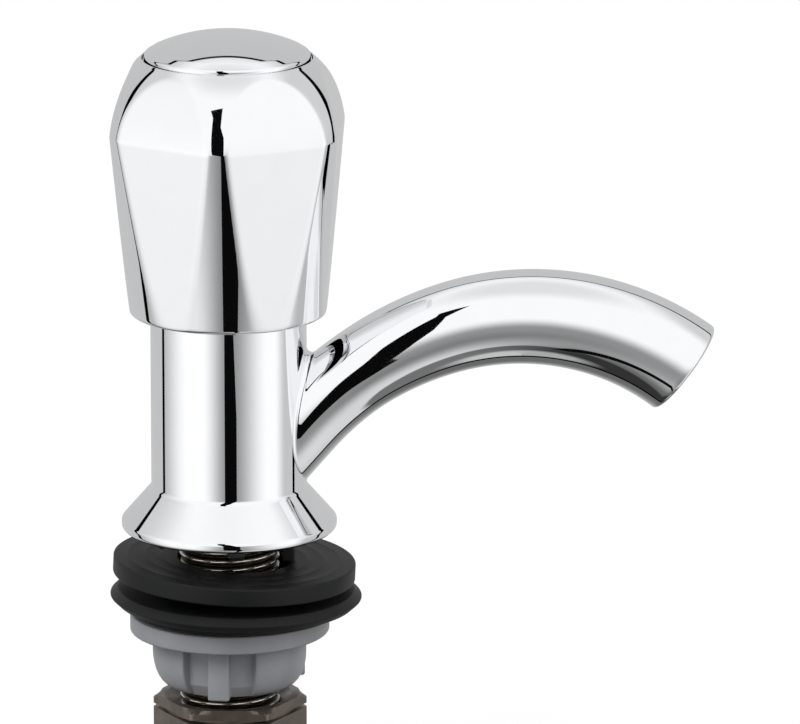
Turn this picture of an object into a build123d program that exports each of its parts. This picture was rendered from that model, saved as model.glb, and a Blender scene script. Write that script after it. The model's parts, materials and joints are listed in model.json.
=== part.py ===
from build123d import *
from math import cos, degrees, pi, radians, sin
import os

os.makedirs("parts", exist_ok=True)

# Pillar tap for a basin: a cast body with a fixed spout, a turning hexagonal knob over a
# non-rising compression headwork, and the washers and nuts that clamp it to the deck.
# Millimetres. The origin is the centre of the base's underside, which stands on the deck.
# +Z runs up the barrel and +X points out along the spout.

# Barrel and base flange
base_radius = 22.5
base_edge_height = 2.0
base_edge_round = 1.0
base_cone_top = 9.2
base_neck_round = 1.5
barrel_radius = 16.27
barrel_top = 55.0

# Spout: a straight root that climbs out of the barrel, a wide arc, then a tighter one over the top
wide_radius = 66.5
bend_radius = 54.5
apex_x = 62.1
apex_z = 45.3
root_angle = 49.0
rise_angle = 17.0
fall_angle = 37.2
spout_root_radius = 8.8
spout_apex_radius = 9.92
spout_end_radius = 10.5
spout_wall = 2.4
spout_root_round = 1.2
spout_lip_round = 0.8

# Waterway inside the barrel
socket_depth = 8.0
port_radius = 5.0
seat_floor = 12.0
seat_rim_height = 1.5
seat_rim_width = 1.6
chamber_radius = 10.0
headwork_thread_length = 12.0

# Half-inch pipe thread, drawn at its crest radius, and the tail that carries it
thread_radius = 10.48
tail_bore_radius = 6.5
tail_length = 58.0
tail_chamfer = 1.2

# Centring lugs under the flange, which drop into the deck hole
deck_hole_radius = 17.5
lug_count = 5
lug_first_angle = -83.5
lug_radial = 3.2
lug_width = 4.9
lug_height = 2.8
lug_draft = 18.0

# Moulded fin that stops the tap turning in its hole
fin_radial = 2.7
fin_width = 3.2
fin_corner_round = 0.45
fin_slot_depth = 3.0

# Flow straightener in the spout's end
recess_depth = 7.5
recess_wall = 1.8
grid_ring_wall = 1.0
grid_rib = 0.6
grid_cell = 2.2
grid_height = 4.0
grid_setback = 0.4
outlet_seal_height = 1.0

# Headwork
head_seal_height = 1.0
head_seal_width = 2.6
head_flange_radius = 13.8
head_flange_height = 2.0
head_hex_flats = 22.0
head_hex_height = 5.0
head_neck_radius = 7.5
head_neck_height = 4.0
head_nose_radius = 9.3
hex_guide_flats = 13.0

# Spindle
spindle_radius = 4.5
spindle_thread_radius = 4.0
collar_radius = 6.0
collar_height = 2.6
clip_groove_depth = 0.55
clip_height = 0.8
clip_radius = 6.6
clip_gap_angle = 70.0
ring_section_radius = 0.9
ring_squeeze = 0.1
spline_teeth = 20
spline_tip_radius = 4.0
spline_root_radius = 3.6
spline_shoulder = 2.6

# Valve: the plunger that the spindle lifts, with its rubber washer
valve_lift = 5.0
washer_radius = 9.1
washer_height = 4.0
cup_radius = 9.55
cup_skirt = 2.2
cup_plate = 2.4
plunger_hex_length = 16.0
plunger_bottom_wall = 2.6
washer_screw_radius = 2.0
washer_screw_head_radius = 3.4
washer_screw_head_height = 1.9
washer_screw_reach = 3.2

# Knob
knob_overlap = 8.7
knob_height = 54.2
knob_rim_radius = 20.55
knob_rim_round = 1.0
knob_crease_height = 39.3
knob_crease_radius = 26.1
knob_lip_width = 0.4
dome_radius = 24.0
facet_depth = 2.55
facet_foot_depth = 0.24
facet_top_margin = 1.95
facet_top_drop = 1.2
facet_bulge_radius = 35.0
facet_round = 0.3
corner_angle = -94.0
knob_wall = 2.5
knob_ceiling_drop = 7.5
knob_web = 2.0
well_radius = 12.0
well_depth = 11.85
well_wall = 2.2
hub_radius = 9.2
hub_bore_radius = 7.0
hub_rib = 1.5
hub_rib_count = 6
hub_rib_sink = 0.5
hub_rib_drop = 8.0

# Cap and knob screw
cap_radius = 17.35
cap_rise = 4.2
cap_shoulder_rise = 1.1
cap_edge_round = 0.8
cap_wall = 1.6
cap_spigot_length = 3.6
knob_screw_radius = 2.0
knob_screw_head_radius = 3.6
knob_screw_head_height = 2.4
knob_screw_reach = 12.0
cross_width = 1.0
cross_depth = 1.2

# Clamp stack on the tail, as it hangs loose before fitting
stack_offset = 1.1
gasket_top = -6.6
gasket_radius = 25.4
gasket_height = 3.9
gasket_hole_radius = 12.0
gasket_edge_round = 0.5
gasket_tilt = 2.7
washer_offset = 1.6
washer_hub_radius = 14.2
washer_hub_height = 1.5
washer_hole_radius = 12.3
washer_rim_radius = 26.4
washer_rim_top_radius = 24.8
washer_rim_height = 3.2
washer_foot_radius = 22.0
washer_foot_draft = 0.6
washer_foot_height = 1.4
washer_tilt = 1.0

# Plastic backnut with three broad lobes and three narrow ribs
backnut_flange_radius = 20.9
backnut_flange_height = 3.9
backnut_radius = 16.2
backnut_height = 11.4
backnut_round_start = 4.2
backnut_foot_radius = 12.6
backnut_bulge = 1.15
backnut_panel_apothem = 13.7
backnut_rib_width = 4.5
backnut_panel_width = 5.8
backnut_rib_angle = -97.8
backnut_thread_mouth = 0.8

# Metal backnut
metal_nut_top = -36.1
metal_nut_flats = 28.15
metal_nut_height = 8.0
metal_nut_corner_radius = 16.1
metal_nut_face_radius = 14.6
metal_nut_face_chamfer = 0.9
metal_nut_sink_radius = 12.9
metal_nut_sink_depth = 1.8
metal_nut_groove_depth = 0.5
metal_nut_groove_width = 0.8
metal_nut_groove_drop = 2.2

# Clearances
thread_fit = 0.05
running_fit = 0.05
slide_fit = 0.05
seat_gap = 0.05
press_fit = 0.02
cap_gap = 0.25
loose_gap = 0.25


def bend_plane(angle):
    """Cross-section plane of the spout, angle degrees past its highest point."""
    turn = radians(angle)
    reach = wide_radius if angle < -rise_angle else bend_radius
    knee = radians(rise_angle)
    centre_x = apex_x + (reach - bend_radius) * sin(knee)
    centre_z = apex_z - bend_radius - (reach - bend_radius) * cos(knee)
    origin = (centre_x + reach * sin(turn), 0, centre_z + reach * cos(turn))
    return Plane(origin=origin, x_dir=(0, 1, 0), z_dir=(cos(turn), 0, -sin(turn)))


def spout_tube(root_radius, apex_radius, end_radius, start_x):
    """Round solid along the spout's line, from start_x inside the barrel to the outlet."""
    foot = bend_plane(-root_angle)
    run = (foot.origin.X - start_x) / cos(radians(root_angle))
    knee = bend_plane(-rise_angle)
    with BuildPart() as tube:
        with BuildSketch(foot):
            Circle(root_radius)
        extrude(amount=-run)
        with BuildLine() as bend:
            TangentArc(foot.origin, knee.origin, tangent=foot.z_dir)
            TangentArc(knee.origin, bend_plane(fall_angle).origin, tangent=knee.z_dir)
        with BuildSketch(foot):
            Circle(root_radius)
        with BuildSketch(bend_plane(0)):
            Circle(apex_radius)
        with BuildSketch(bend_plane(fall_angle)):
            Circle(end_radius)
        sweep(path=bend.wires()[0], multisection=True)
    return tube.part


def leaning_plane(origin, tilt):
    """Upright sketch plane whose up direction leans tilt degrees towards +X."""
    turn = radians(tilt)
    return Plane(origin=origin, x_dir=(cos(turn), 0, -sin(turn)), z_dir=(0, -1, 0))


def spline_points(tip, root):
    """Corners of the serrated end of the spindle, tooth by tooth."""
    points = []
    for step in range(2 * spline_teeth):
        turn = pi * step / spline_teeth
        reach = tip if step % 2 == 0 else root
        points.append((reach * cos(turn), reach * sin(turn)))
    return points


# Levels that follow from the sizes above
socket_radius = thread_radius + thread_fit
seat_top = seat_floor + seat_rim_height
thread_start = barrel_top - headwork_thread_length
outlet = bend_plane(fall_angle)
recess_radius = spout_end_radius - recess_wall
spout_start_x = barrel_radius / 2
fin_x = thread_radius + 2 * loose_gap + fin_radial / 2

# The body is one casting: flange, barrel, spout, valve seat and the lugs underneath
with BuildPart() as tap_body:
    with BuildSketch(Plane.XZ) as outline:
        with BuildLine():
            Polyline(
                (0, 0),
                (base_radius, 0),
                (base_radius, base_edge_height),
                (barrel_radius, base_cone_top),
                (barrel_radius, barrel_top),
                (0, barrel_top),
                close=True,
            )
        make_face()
        rim = outline.vertices().filter_by(lambda v: v.X > barrel_radius + 1)
        fillet(rim, radius=base_edge_round)
        neck = outline.vertices().filter_by(lambda v: abs(v.Y - base_cone_top) < 0.01)
        fillet(neck, radius=base_neck_round)
    revolve(axis=Axis.Z)
    add(spout_tube(spout_root_radius, spout_apex_radius, spout_end_radius, spout_start_x))
    saddle = tap_body.edges(Select.LAST).filter_by(
        lambda e: e.geom_type not in (GeomType.LINE, GeomType.CIRCLE) and e.center().X < base_radius
    )
    fillet(saddle, radius=spout_root_round)
    lip = tap_body.faces().filter_by(lambda f: (f.center() - outlet.origin).length < 0.1)
    fillet(lip.edges(), radius=spout_lip_round)
    with BuildSketch(Plane.XZ):
        with BuildLine():
            Polyline(
                (0, 0),
                (socket_radius, 0),
                (socket_radius, socket_depth),
                (port_radius, socket_depth),
                (port_radius, seat_top),
                (port_radius + seat_rim_width, seat_top),
                (port_radius + seat_rim_width, seat_floor),
                (chamber_radius, seat_floor),
                (chamber_radius, thread_start),
                (socket_radius, thread_start),
                (socket_radius, barrel_top),
                (0, barrel_top),
                close=True,
            )
        make_face()
    revolve(axis=Axis.Z, mode=Mode.SUBTRACT)
    add(
        spout_tube(
            spout_root_radius - spout_wall,
            spout_apex_radius - spout_wall,
            spout_end_radius - spout_wall,
            chamber_radius + 1,
        ),
        mode=Mode.SUBTRACT,
    )
    with BuildSketch(outlet):
        Circle(recess_radius)
    extrude(amount=-recess_depth, mode=Mode.SUBTRACT)
    with BuildSketch(Plane.XY):
        with PolarLocations(deck_hole_radius - loose_gap - lug_radial / 2, lug_count, lug_first_angle):
            Rectangle(lug_radial, lug_width)
    extrude(amount=-lug_height, taper=lug_draft)
    with BuildSketch(Plane.XY):
        with Locations((fin_x, 0)):
            RectangleRounded(fin_radial + 2 * press_fit, fin_width + 2 * press_fit, fin_corner_round)
    extrude(amount=fin_slot_depth, mode=Mode.SUBTRACT)

tap_body.part.label = "tap_body"
export_step(tap_body.part, "parts/tap_body.step")

# Turned tail, screwed up into the base until it meets the end of its socket
with BuildPart() as threaded_tail:
    with BuildSketch(Plane.XZ) as wall:
        with Locations(((tail_bore_radius + thread_radius) / 2, (socket_depth - tail_length) / 2)):
            Rectangle(thread_radius - tail_bore_radius, socket_depth + tail_length)
        ends = wall.vertices().filter_by(lambda v: v.X > thread_radius - 0.01)
        chamfer(ends, length=tail_chamfer)
    revolve(axis=Axis.Z)
threaded_tail.part.label = "threaded_tail"
export_step(threaded_tail.part, "parts/threaded_tail.step")

# Moulded fin beside the tail, pressed into a slot in the flange
gasket_plane = Plane(
    origin=(stack_offset, 0, gasket_top),
    x_dir=(cos(radians(gasket_tilt)), 0, -sin(radians(gasket_tilt))),
    z_dir=(sin(radians(gasket_tilt)), 0, cos(radians(gasket_tilt))),
)
fin_foot = gasket_top - (fin_x + fin_radial / 2 - stack_offset) * sin(radians(gasket_tilt)) + loose_gap
with BuildPart() as locating_fin:
    with BuildSketch(Plane.XY.offset(fin_foot)):
        with Locations((fin_x, 0)):
            RectangleRounded(fin_radial, fin_width, fin_corner_round)
    extrude(amount=fin_slot_depth - press_fit - fin_foot)
locating_fin.part.label = "locating_fin"
export_step(locating_fin.part, "parts/locating_fin.step")

# Flat ring behind the flow straightener
straightener_radius = recess_radius - press_fit
straightener_top = outlet.offset(-recess_depth + outlet_seal_height)
with BuildPart() as outlet_seal:
    with BuildSketch(outlet.offset(-recess_depth)):
        Circle(straightener_radius)
        Circle(spout_end_radius - spout_wall - grid_ring_wall, mode=Mode.SUBTRACT)
    extrude(amount=outlet_seal_height)
outlet_seal.part.label = "outlet_seal"
export_step(outlet_seal.part, "parts/outlet_seal.step")

# Flow straightener: a moulded ring round a grid of square cells
ring_height = recess_depth - outlet_seal_height - grid_setback
grid_pitch = grid_cell + grid_rib
grid_cells = int(2 * straightener_radius / grid_pitch) + 1
with BuildPart() as flow_straightener:
    with BuildSketch(straightener_top):
        Circle(straightener_radius)
        Circle(straightener_radius - grid_ring_wall, mode=Mode.SUBTRACT)
    extrude(amount=ring_height)
    with BuildSketch(straightener_top.offset(ring_height - grid_height)):
        Circle(straightener_radius - grid_ring_wall / 2)
        with BuildSketch(mode=Mode.SUBTRACT):
            with GridLocations(grid_pitch, grid_pitch, grid_cells, grid_cells):
                Rectangle(grid_cell, grid_cell)
            Circle(straightener_radius - grid_ring_wall, mode=Mode.INTERSECT)
    extrude(amount=grid_height - grid_rib)
flow_straightener.part.label = "flow_straightener"
export_step(flow_straightener.part, "parts/flow_straightener.step")

# Flat seal between the barrel's top and the headwork's flange
with BuildPart() as headwork_seal:
    with BuildSketch(Plane.XY.offset(barrel_top)):
        Circle(socket_radius + head_seal_width)
        Circle(socket_radius, mode=Mode.SUBTRACT)
    extrude(amount=head_seal_height)
headwork_seal.part.label = "headwork_seal"
export_step(headwork_seal.part, "parts/headwork_seal.step")

# Levels of the valve when it is shut
washer_foot = seat_top + seat_gap
cup_foot = washer_foot + washer_height
cup_top = cup_foot + cup_plate
nose_foot = cup_top + valve_lift + loose_gap
plunger_top = cup_top + plunger_hex_length
hex_guide_top = plunger_top + valve_lift + 2 * loose_gap
plunger_hole_foot = cup_foot + washer_screw_reach + plunger_bottom_wall
spindle_foot = plunger_hole_foot + valve_lift + loose_gap

# Levels of the headwork above the barrel
head_flange_foot = barrel_top + head_seal_height
head_hex_foot = head_flange_foot + head_flange_height
head_neck_foot = head_hex_foot + head_hex_height
head_top = head_neck_foot + head_neck_height
collar_foot = hex_guide_top + running_fit
collar_top = collar_foot + collar_height
stem_bore_radius = spindle_radius + running_fit

# Headwork: screwed into the barrel, guides the plunger and carries the spindle
with BuildPart() as headwork_body:
    with BuildSketch(Plane.XZ):
        with BuildLine():
            Polyline(
                (0, nose_foot),
                (head_nose_radius, nose_foot),
                (head_nose_radius, thread_start + 2 * loose_gap),
                (thread_radius, thread_start + 2 * loose_gap + thread_radius - head_nose_radius),
                (thread_radius, head_flange_foot),
                (head_flange_radius, head_flange_foot),
                (head_flange_radius, head_hex_foot),
                (head_neck_radius, head_hex_foot),
                (head_neck_radius, head_top),
                (0, head_top),
                close=True,
            )
        make_face()
    revolve(axis=Axis.Z)
    with BuildSketch(Plane.XY.offset(head_hex_foot)):
        RegularPolygon(head_hex_flats / 2, 6, major_radius=False)
    extrude(amount=head_hex_height)
    with BuildSketch(Plane.XY.offset(nose_foot)):
        RegularPolygon(hex_guide_flats / 2 + slide_fit, 6, major_radius=False)
    extrude(amount=hex_guide_top - nose_foot, mode=Mode.SUBTRACT)
    with BuildSketch(Plane.XY.offset(hex_guide_top)):
        Circle(collar_radius + running_fit)
    extrude(amount=collar_top + running_fit - hex_guide_top, mode=Mode.SUBTRACT)
    with BuildSketch(Plane.XY.offset(collar_top)):
        Circle(stem_bore_radius)
    extrude(amount=head_top - collar_top, mode=Mode.SUBTRACT)
headwork_body.part.label = "headwork_body"
export_step(headwork_body.part, "parts/headwork_body.step")

# Levels of the knob, hung over the barrel's top, and of the well under its cap
knob_rim_z = barrel_top - knob_overlap
knob_crease_z = knob_rim_z + knob_crease_height
knob_lip_z = knob_rim_z + knob_height
knob_ceiling_z = knob_lip_z - knob_ceiling_drop
facet_top_z = knob_lip_z - facet_top_drop
cap_shoulder_z = knob_lip_z + cap_shoulder_rise
cap_ledge = cap_shoulder_z - cap_rise
web_top = cap_ledge - well_depth
web_foot = web_top - knob_web

# Levels of the spindle above the headwork
clip_foot = head_top + running_fit
clip_groove_radius = spindle_radius - clip_groove_depth
spline_foot = clip_foot + clip_height + spline_shoulder
spline_top = web_foot - 2 * loose_gap
stem_length = head_top - collar_top
ring_levels = [collar_top + stem_length / 3, collar_top + 2 * stem_length / 3]
ring_groove_radius = spindle_radius - 2 * ring_section_radius + ring_squeeze + running_fit

# Spindle: lifting thread, collar, sealed stem, clip groove and splined end
with BuildPart() as spindle:
    with BuildSketch(Plane.XY.offset(spindle_foot)):
        Circle(spindle_thread_radius)
    extrude(amount=collar_foot - spindle_foot)
    with BuildSketch(Plane.XY.offset(collar_foot)):
        Circle(collar_radius)
    extrude(amount=collar_height)
    with BuildSketch(Plane.XY.offset(collar_top)):
        Circle(spindle_radius)
    extrude(amount=spline_foot - collar_top)
    with BuildSketch(Plane.XY.offset(spline_foot)):
        Polygon(*spline_points(spline_tip_radius, spline_root_radius), align=None)
    extrude(amount=spline_top - spline_foot)
    for level in ring_levels:
        with BuildSketch(Plane.XY.offset(level - ring_section_radius)):
            Circle(spindle_radius + 1)
            Circle(ring_groove_radius, mode=Mode.SUBTRACT)
        extrude(amount=2 * ring_section_radius, mode=Mode.SUBTRACT)
    with BuildSketch(Plane.XY.offset(clip_foot)):
        Circle(spindle_radius + 1)
        Circle(clip_groove_radius, mode=Mode.SUBTRACT)
    extrude(amount=clip_height, mode=Mode.SUBTRACT)
    with BuildSketch(Plane.XY.offset(spline_top)):
        Circle(knob_screw_radius + press_fit)
    extrude(amount=-knob_screw_reach, mode=Mode.SUBTRACT)
spindle.part.label = "spindle"
export_step(spindle.part, "parts/spindle.step")

# Two rubber rings in the stem's grooves
ring_centre = ring_groove_radius + ring_section_radius
for name, level in zip(("lower", "upper"), ring_levels):
    with BuildPart() as spindle_ring:
        with BuildSketch(Plane.XZ):
            with Locations((ring_centre, level)):
                Circle(ring_section_radius - ring_squeeze)
        revolve(axis=Axis.Z)
    spindle_ring.part.label = f"spindle_ring_{name}"
    export_step(spindle_ring.part, f"parts/spindle_ring_{name}.step")

# Spring clip that holds the spindle down in the headwork
with BuildPart() as retaining_clip:
    with BuildSketch(Plane.XY.offset(clip_foot + press_fit)):
        Circle(clip_radius)
        Circle(clip_groove_radius + press_fit, mode=Mode.SUBTRACT)
        with BuildSketch(mode=Mode.SUBTRACT):
            with BuildLine():
                half_gap = radians(clip_gap_angle / 2)
                Polyline(
                    (0, 0),
                    (2 * clip_radius * cos(half_gap), 2 * clip_radius * sin(half_gap)),
                    (2 * clip_radius * cos(half_gap), -2 * clip_radius * sin(half_gap)),
                    close=True,
                )
            make_face()
    extrude(amount=clip_height - 2 * press_fit)
retaining_clip.part.label = "retaining_clip"
export_step(retaining_clip.part, "parts/retaining_clip.step")

# Plunger: a hexagon that the spindle's thread lifts, over a cup for the tap washer
cup_inner_radius = washer_radius + press_fit
with BuildPart() as plunger:
    with BuildSketch(Plane.XZ):
        with BuildLine():
            Polyline(
                (0, cup_foot),
                (cup_inner_radius, cup_foot),
                (cup_inner_radius, cup_foot - cup_skirt),
                (cup_radius, cup_foot - cup_skirt),
                (cup_radius, cup_top),
                (0, cup_top),
                close=True,
            )
        make_face()
    revolve(axis=Axis.Z)
    with BuildSketch(Plane.XY.offset(cup_top)):
        RegularPolygon(hex_guide_flats / 2, 6, major_radius=False)
    extrude(amount=plunger_hex_length)
    with BuildSketch(Plane.XY.offset(plunger_top)):
        Circle(spindle_thread_radius + running_fit)
    extrude(amount=plunger_hole_foot - plunger_top, mode=Mode.SUBTRACT)
    with BuildSketch(Plane.XY.offset(cup_foot)):
        Circle(washer_screw_radius + press_fit)
    extrude(amount=washer_screw_reach, mode=Mode.SUBTRACT)
plunger.part.label = "plunger"
export_step(plunger.part, "parts/plunger.step")

# Rubber tap washer in the cup
with BuildPart() as tap_washer:
    with BuildSketch(Plane.XY.offset(washer_foot)):
        Circle(washer_radius)
        Circle(washer_screw_radius + press_fit, mode=Mode.SUBTRACT)
    extrude(amount=washer_height)
tap_washer.part.label = "tap_washer"
export_step(tap_washer.part, "parts/tap_washer.step")

# Screw that holds the tap washer
with BuildPart() as washer_screw:
    with BuildSketch(Plane.XY.offset(washer_foot)):
        Circle(washer_screw_head_radius)
    extrude(amount=-washer_screw_head_height)
    fillet(washer_screw.faces().sort_by(Axis.Z)[0].edges(), radius=washer_screw_head_height / 3)
    with BuildSketch(Plane.XY.offset(washer_foot)):
        Circle(washer_screw_radius)
    extrude(amount=washer_height + washer_screw_reach - press_fit)
    with BuildSketch(Plane.XY.offset(washer_foot - washer_screw_head_height)):
        Rectangle(3 * washer_screw_radius, cross_width)
    extrude(amount=cross_depth, mode=Mode.SUBTRACT)
washer_screw.part.label = "washer_screw"
export_step(washer_screw.part, "parts/washer_screw.step")

# Radii of the knob's facets, shell and recess
facet_apothem = knob_crease_radius - facet_depth
facet_foot_apothem = knob_rim_radius - facet_foot_depth
facet_top_apothem = cap_radius + facet_top_margin
facet_past_apothem = facet_top_apothem - (facet_apothem - facet_top_apothem) / 2
recess_wall_radius = cap_radius + cap_gap
rim_bore_radius = knob_rim_radius - knob_wall
crease_bore_radius = facet_apothem - knob_wall
ceiling_bore_radius = facet_top_apothem - knob_wall

# Knob: a bellied cone and dome, cut to six grip facets that crease at its widest level.
# Each pair of opposite facets is one upright profile, pushed through from both sides.
with BuildPart() as knob:
    with BuildSketch(Plane.XZ) as turned:
        with BuildLine():
            Line((0, knob_rim_z), (knob_rim_radius, knob_rim_z))
            Line((knob_rim_radius, knob_rim_z), (knob_crease_radius, knob_crease_z))
            RadiusArc(
                (knob_crease_radius, knob_crease_z),
                (recess_wall_radius + knob_lip_width, knob_lip_z),
                -dome_radius,
            )
            Line((recess_wall_radius + knob_lip_width, knob_lip_z), (0, knob_lip_z))
            Line((0, knob_lip_z), (0, knob_rim_z))
        make_face()
        rim = turned.vertices().filter_by(lambda v: v.X > 1).sort_by(Axis.Y)[0]
        fillet(rim, radius=knob_rim_round)
    revolve(axis=Axis.Z)
    for pair in range(3):
        with BuildSketch(Plane.XZ.rotated((0, 0, corner_angle + 30 + 60 * pair))):
            with BuildLine():
                Line((0, knob_rim_z - 1), (facet_foot_apothem, knob_rim_z - 1))
                Line((facet_foot_apothem, knob_rim_z - 1), (facet_apothem, knob_crease_z))
                RadiusArc((facet_apothem, knob_crease_z), (facet_top_apothem, facet_top_z), -facet_bulge_radius)
                Line((facet_top_apothem, facet_top_z), (facet_past_apothem, knob_lip_z + facet_top_drop))
                Line((facet_past_apothem, knob_lip_z + facet_top_drop), (0, knob_lip_z + facet_top_drop))
                Line((0, knob_lip_z + facet_top_drop), (0, knob_rim_z - 1))
            make_face()
            mirror(about=Plane.YZ)
        extrude(amount=2 * knob_crease_radius, both=True, mode=Mode.INTERSECT)
    ridges = knob.edges().filter_by(lambda e: knob_rim_z + knob_rim_round < e.center().Z < knob_lip_z - facet_round)
    fillet(ridges, radius=facet_round)
    with BuildSketch(Plane.XZ):
        with BuildLine():
            Polyline(
                (hub_radius, knob_rim_z),
                (rim_bore_radius, knob_rim_z),
                (crease_bore_radius, knob_crease_z),
                (ceiling_bore_radius, knob_ceiling_z),
                (well_radius + well_wall, knob_ceiling_z),
                (well_radius + well_wall, web_foot),
                (hub_radius, web_foot),
                close=True,
            )
        make_face()
    revolve(axis=Axis.Z, mode=Mode.SUBTRACT)
    with BuildSketch(Plane.XZ):
        with BuildLine():
            Polyline(
                (0, knob_rim_z),
                (hub_radius + 1, knob_rim_z),
                (hub_radius + 1, spline_foot - spline_shoulder / 2),
                (hub_bore_radius, spline_foot - spline_shoulder / 2),
                (hub_bore_radius, web_foot),
                (knob_screw_radius + press_fit, web_foot),
                (knob_screw_radius + press_fit, web_top),
                (well_radius, web_top),
                (well_radius, cap_ledge),
                (recess_wall_radius, cap_ledge),
                (recess_wall_radius, knob_lip_z),
                (0, knob_lip_z),
                close=True,
            )
        make_face()
    revolve(axis=Axis.Z, mode=Mode.SUBTRACT)
    for step in range(hub_rib_count):
        turn = corner_angle + step * 360 / hub_rib_count
        with BuildSketch(Plane.XZ.rotated((0, 0, turn))):
            with BuildLine():
                Polyline(
                    (hub_bore_radius + 1, spline_foot + 2),
                    (hub_bore_radius + 1, knob_ceiling_z + hub_rib_sink),
                    (ceiling_bore_radius, knob_ceiling_z + hub_rib_sink),
                    (crease_bore_radius + hub_rib_sink, knob_crease_z),
                    (crease_bore_radius - 1, knob_crease_z - hub_rib_drop),
                    close=True,
                )
            make_face()
        extrude(amount=hub_rib / 2, both=True)
knob.part.label = "knob"
export_step(knob.part, "parts/knob.step")

# Splined plastic bush pressed into the knob's hub
with BuildPart() as spline_bush:
    with BuildSketch(Plane.XY.offset(spline_foot + press_fit)):
        Circle(hub_bore_radius - press_fit)
        Polygon(
            *spline_points(spline_tip_radius + running_fit, spline_root_radius + running_fit),
            align=None,
            mode=Mode.SUBTRACT,
        )
    extrude(amount=web_foot - spline_foot - 2 * press_fit)
spline_bush.part.label = "spline_bush"
export_step(spline_bush.part, "parts/spline_bush.step")

# Screw through the knob's web into the spindle
with BuildPart() as knob_screw:
    with BuildSketch(Plane.XY.offset(web_top)):
        Circle(knob_screw_head_radius)
    extrude(amount=knob_screw_head_height)
    fillet(knob_screw.faces().sort_by(Axis.Z)[-1].edges(), radius=knob_screw_head_height / 3)
    with BuildSketch(Plane.XY.offset(web_top)):
        Circle(knob_screw_radius)
    extrude(amount=spline_top - web_top - knob_screw_reach + knob_web)
    with BuildSketch(Plane.XY.offset(web_top + knob_screw_head_height)):
        Rectangle(1.3 * knob_screw_head_radius, cross_width)
        Rectangle(cross_width, 1.3 * knob_screw_head_radius)
    extrude(amount=-cross_depth, mode=Mode.SUBTRACT)
knob_screw.part.label = "knob_screw"
export_step(knob_screw.part, "parts/knob_screw.step")

# Domed cap with a spigot that presses into the knob's well
spigot_radius = well_radius - press_fit
cap_dome_radius = (cap_radius**2 + cap_rise**2) / (2 * cap_rise)
with BuildPart() as cap:
    with BuildSketch(Plane.XZ) as section:
        with BuildLine():
            Line((0, cap_ledge), (cap_radius, cap_ledge))
            Line((cap_radius, cap_ledge), (cap_radius, cap_shoulder_z))
            RadiusArc((cap_radius, cap_shoulder_z), (0, cap_shoulder_z + cap_rise), -cap_dome_radius)
            Line((0, cap_shoulder_z + cap_rise), (0, cap_ledge))
        make_face()
        edge = section.vertices().filter_by(lambda v: v.X > cap_radius - 0.01).sort_by(Axis.Y)[-1]
        fillet(edge, radius=cap_edge_round)
    revolve(axis=Axis.Z)
    with BuildSketch(Plane.XY.offset(cap_ledge)):
        Circle(spigot_radius)
    extrude(amount=-cap_spigot_length)
    with BuildSketch(Plane.XY.offset(cap_ledge - cap_spigot_length)):
        Circle(spigot_radius - cap_wall)
    extrude(amount=cap_spigot_length + cap_shoulder_z - cap_ledge, mode=Mode.SUBTRACT)
cap.part.label = "cap"
export_step(cap.part, "parts/cap.step")

# Flat rubber gasket, hanging a little askew on the tail
with BuildPart() as top_washer:
    with BuildSketch(gasket_plane):
        Circle(gasket_radius)
        Circle(gasket_hole_radius, mode=Mode.SUBTRACT)
    extrude(amount=-gasket_height)
    outer_edges = top_washer.edges().filter_by(GeomType.CIRCLE).group_by(SortBy.RADIUS)[-1]
    fillet(outer_edges, radius=gasket_edge_round)
top_washer.part.label = "top_washer"
export_step(top_washer.part, "parts/top_washer.step")

# Flanged washer below it: a hub, a pointed rim and a round foot on the backnut
hub_top = gasket_top - gasket_height - (washer_hub_radius + washer_offset) * sin(radians(gasket_tilt)) - loose_gap
rim_crest = hub_top - washer_hub_height
foot_level = rim_crest - washer_rim_height - washer_foot_height
rim_edge = rim_crest - washer_rim_height / 2
washer_plane = leaning_plane((washer_offset, 0, 0), washer_tilt)
washer_lean = Vector(sin(radians(washer_tilt)), 0, cos(radians(washer_tilt)))
with BuildPart() as flanged_washer:
    with BuildSketch(washer_plane):
        with BuildLine():
            Polyline(
                (washer_hole_radius, foot_level),
                (washer_foot_radius, foot_level),
                (washer_foot_radius + washer_foot_draft, rim_crest - washer_rim_height),
                (washer_rim_top_radius, rim_crest - washer_rim_height),
                (washer_rim_radius, rim_edge),
                (washer_rim_top_radius, rim_crest),
                (washer_hub_radius, rim_crest),
                (washer_hub_radius, hub_top),
                (washer_hole_radius, hub_top),
                close=True,
            )
        make_face()
    revolve(axis=Axis((washer_offset, 0, 0), washer_lean))
flanged_washer.part.label = "flanged_washer"
export_step(flanged_washer.part, "parts/flanged_washer.step")

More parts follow.
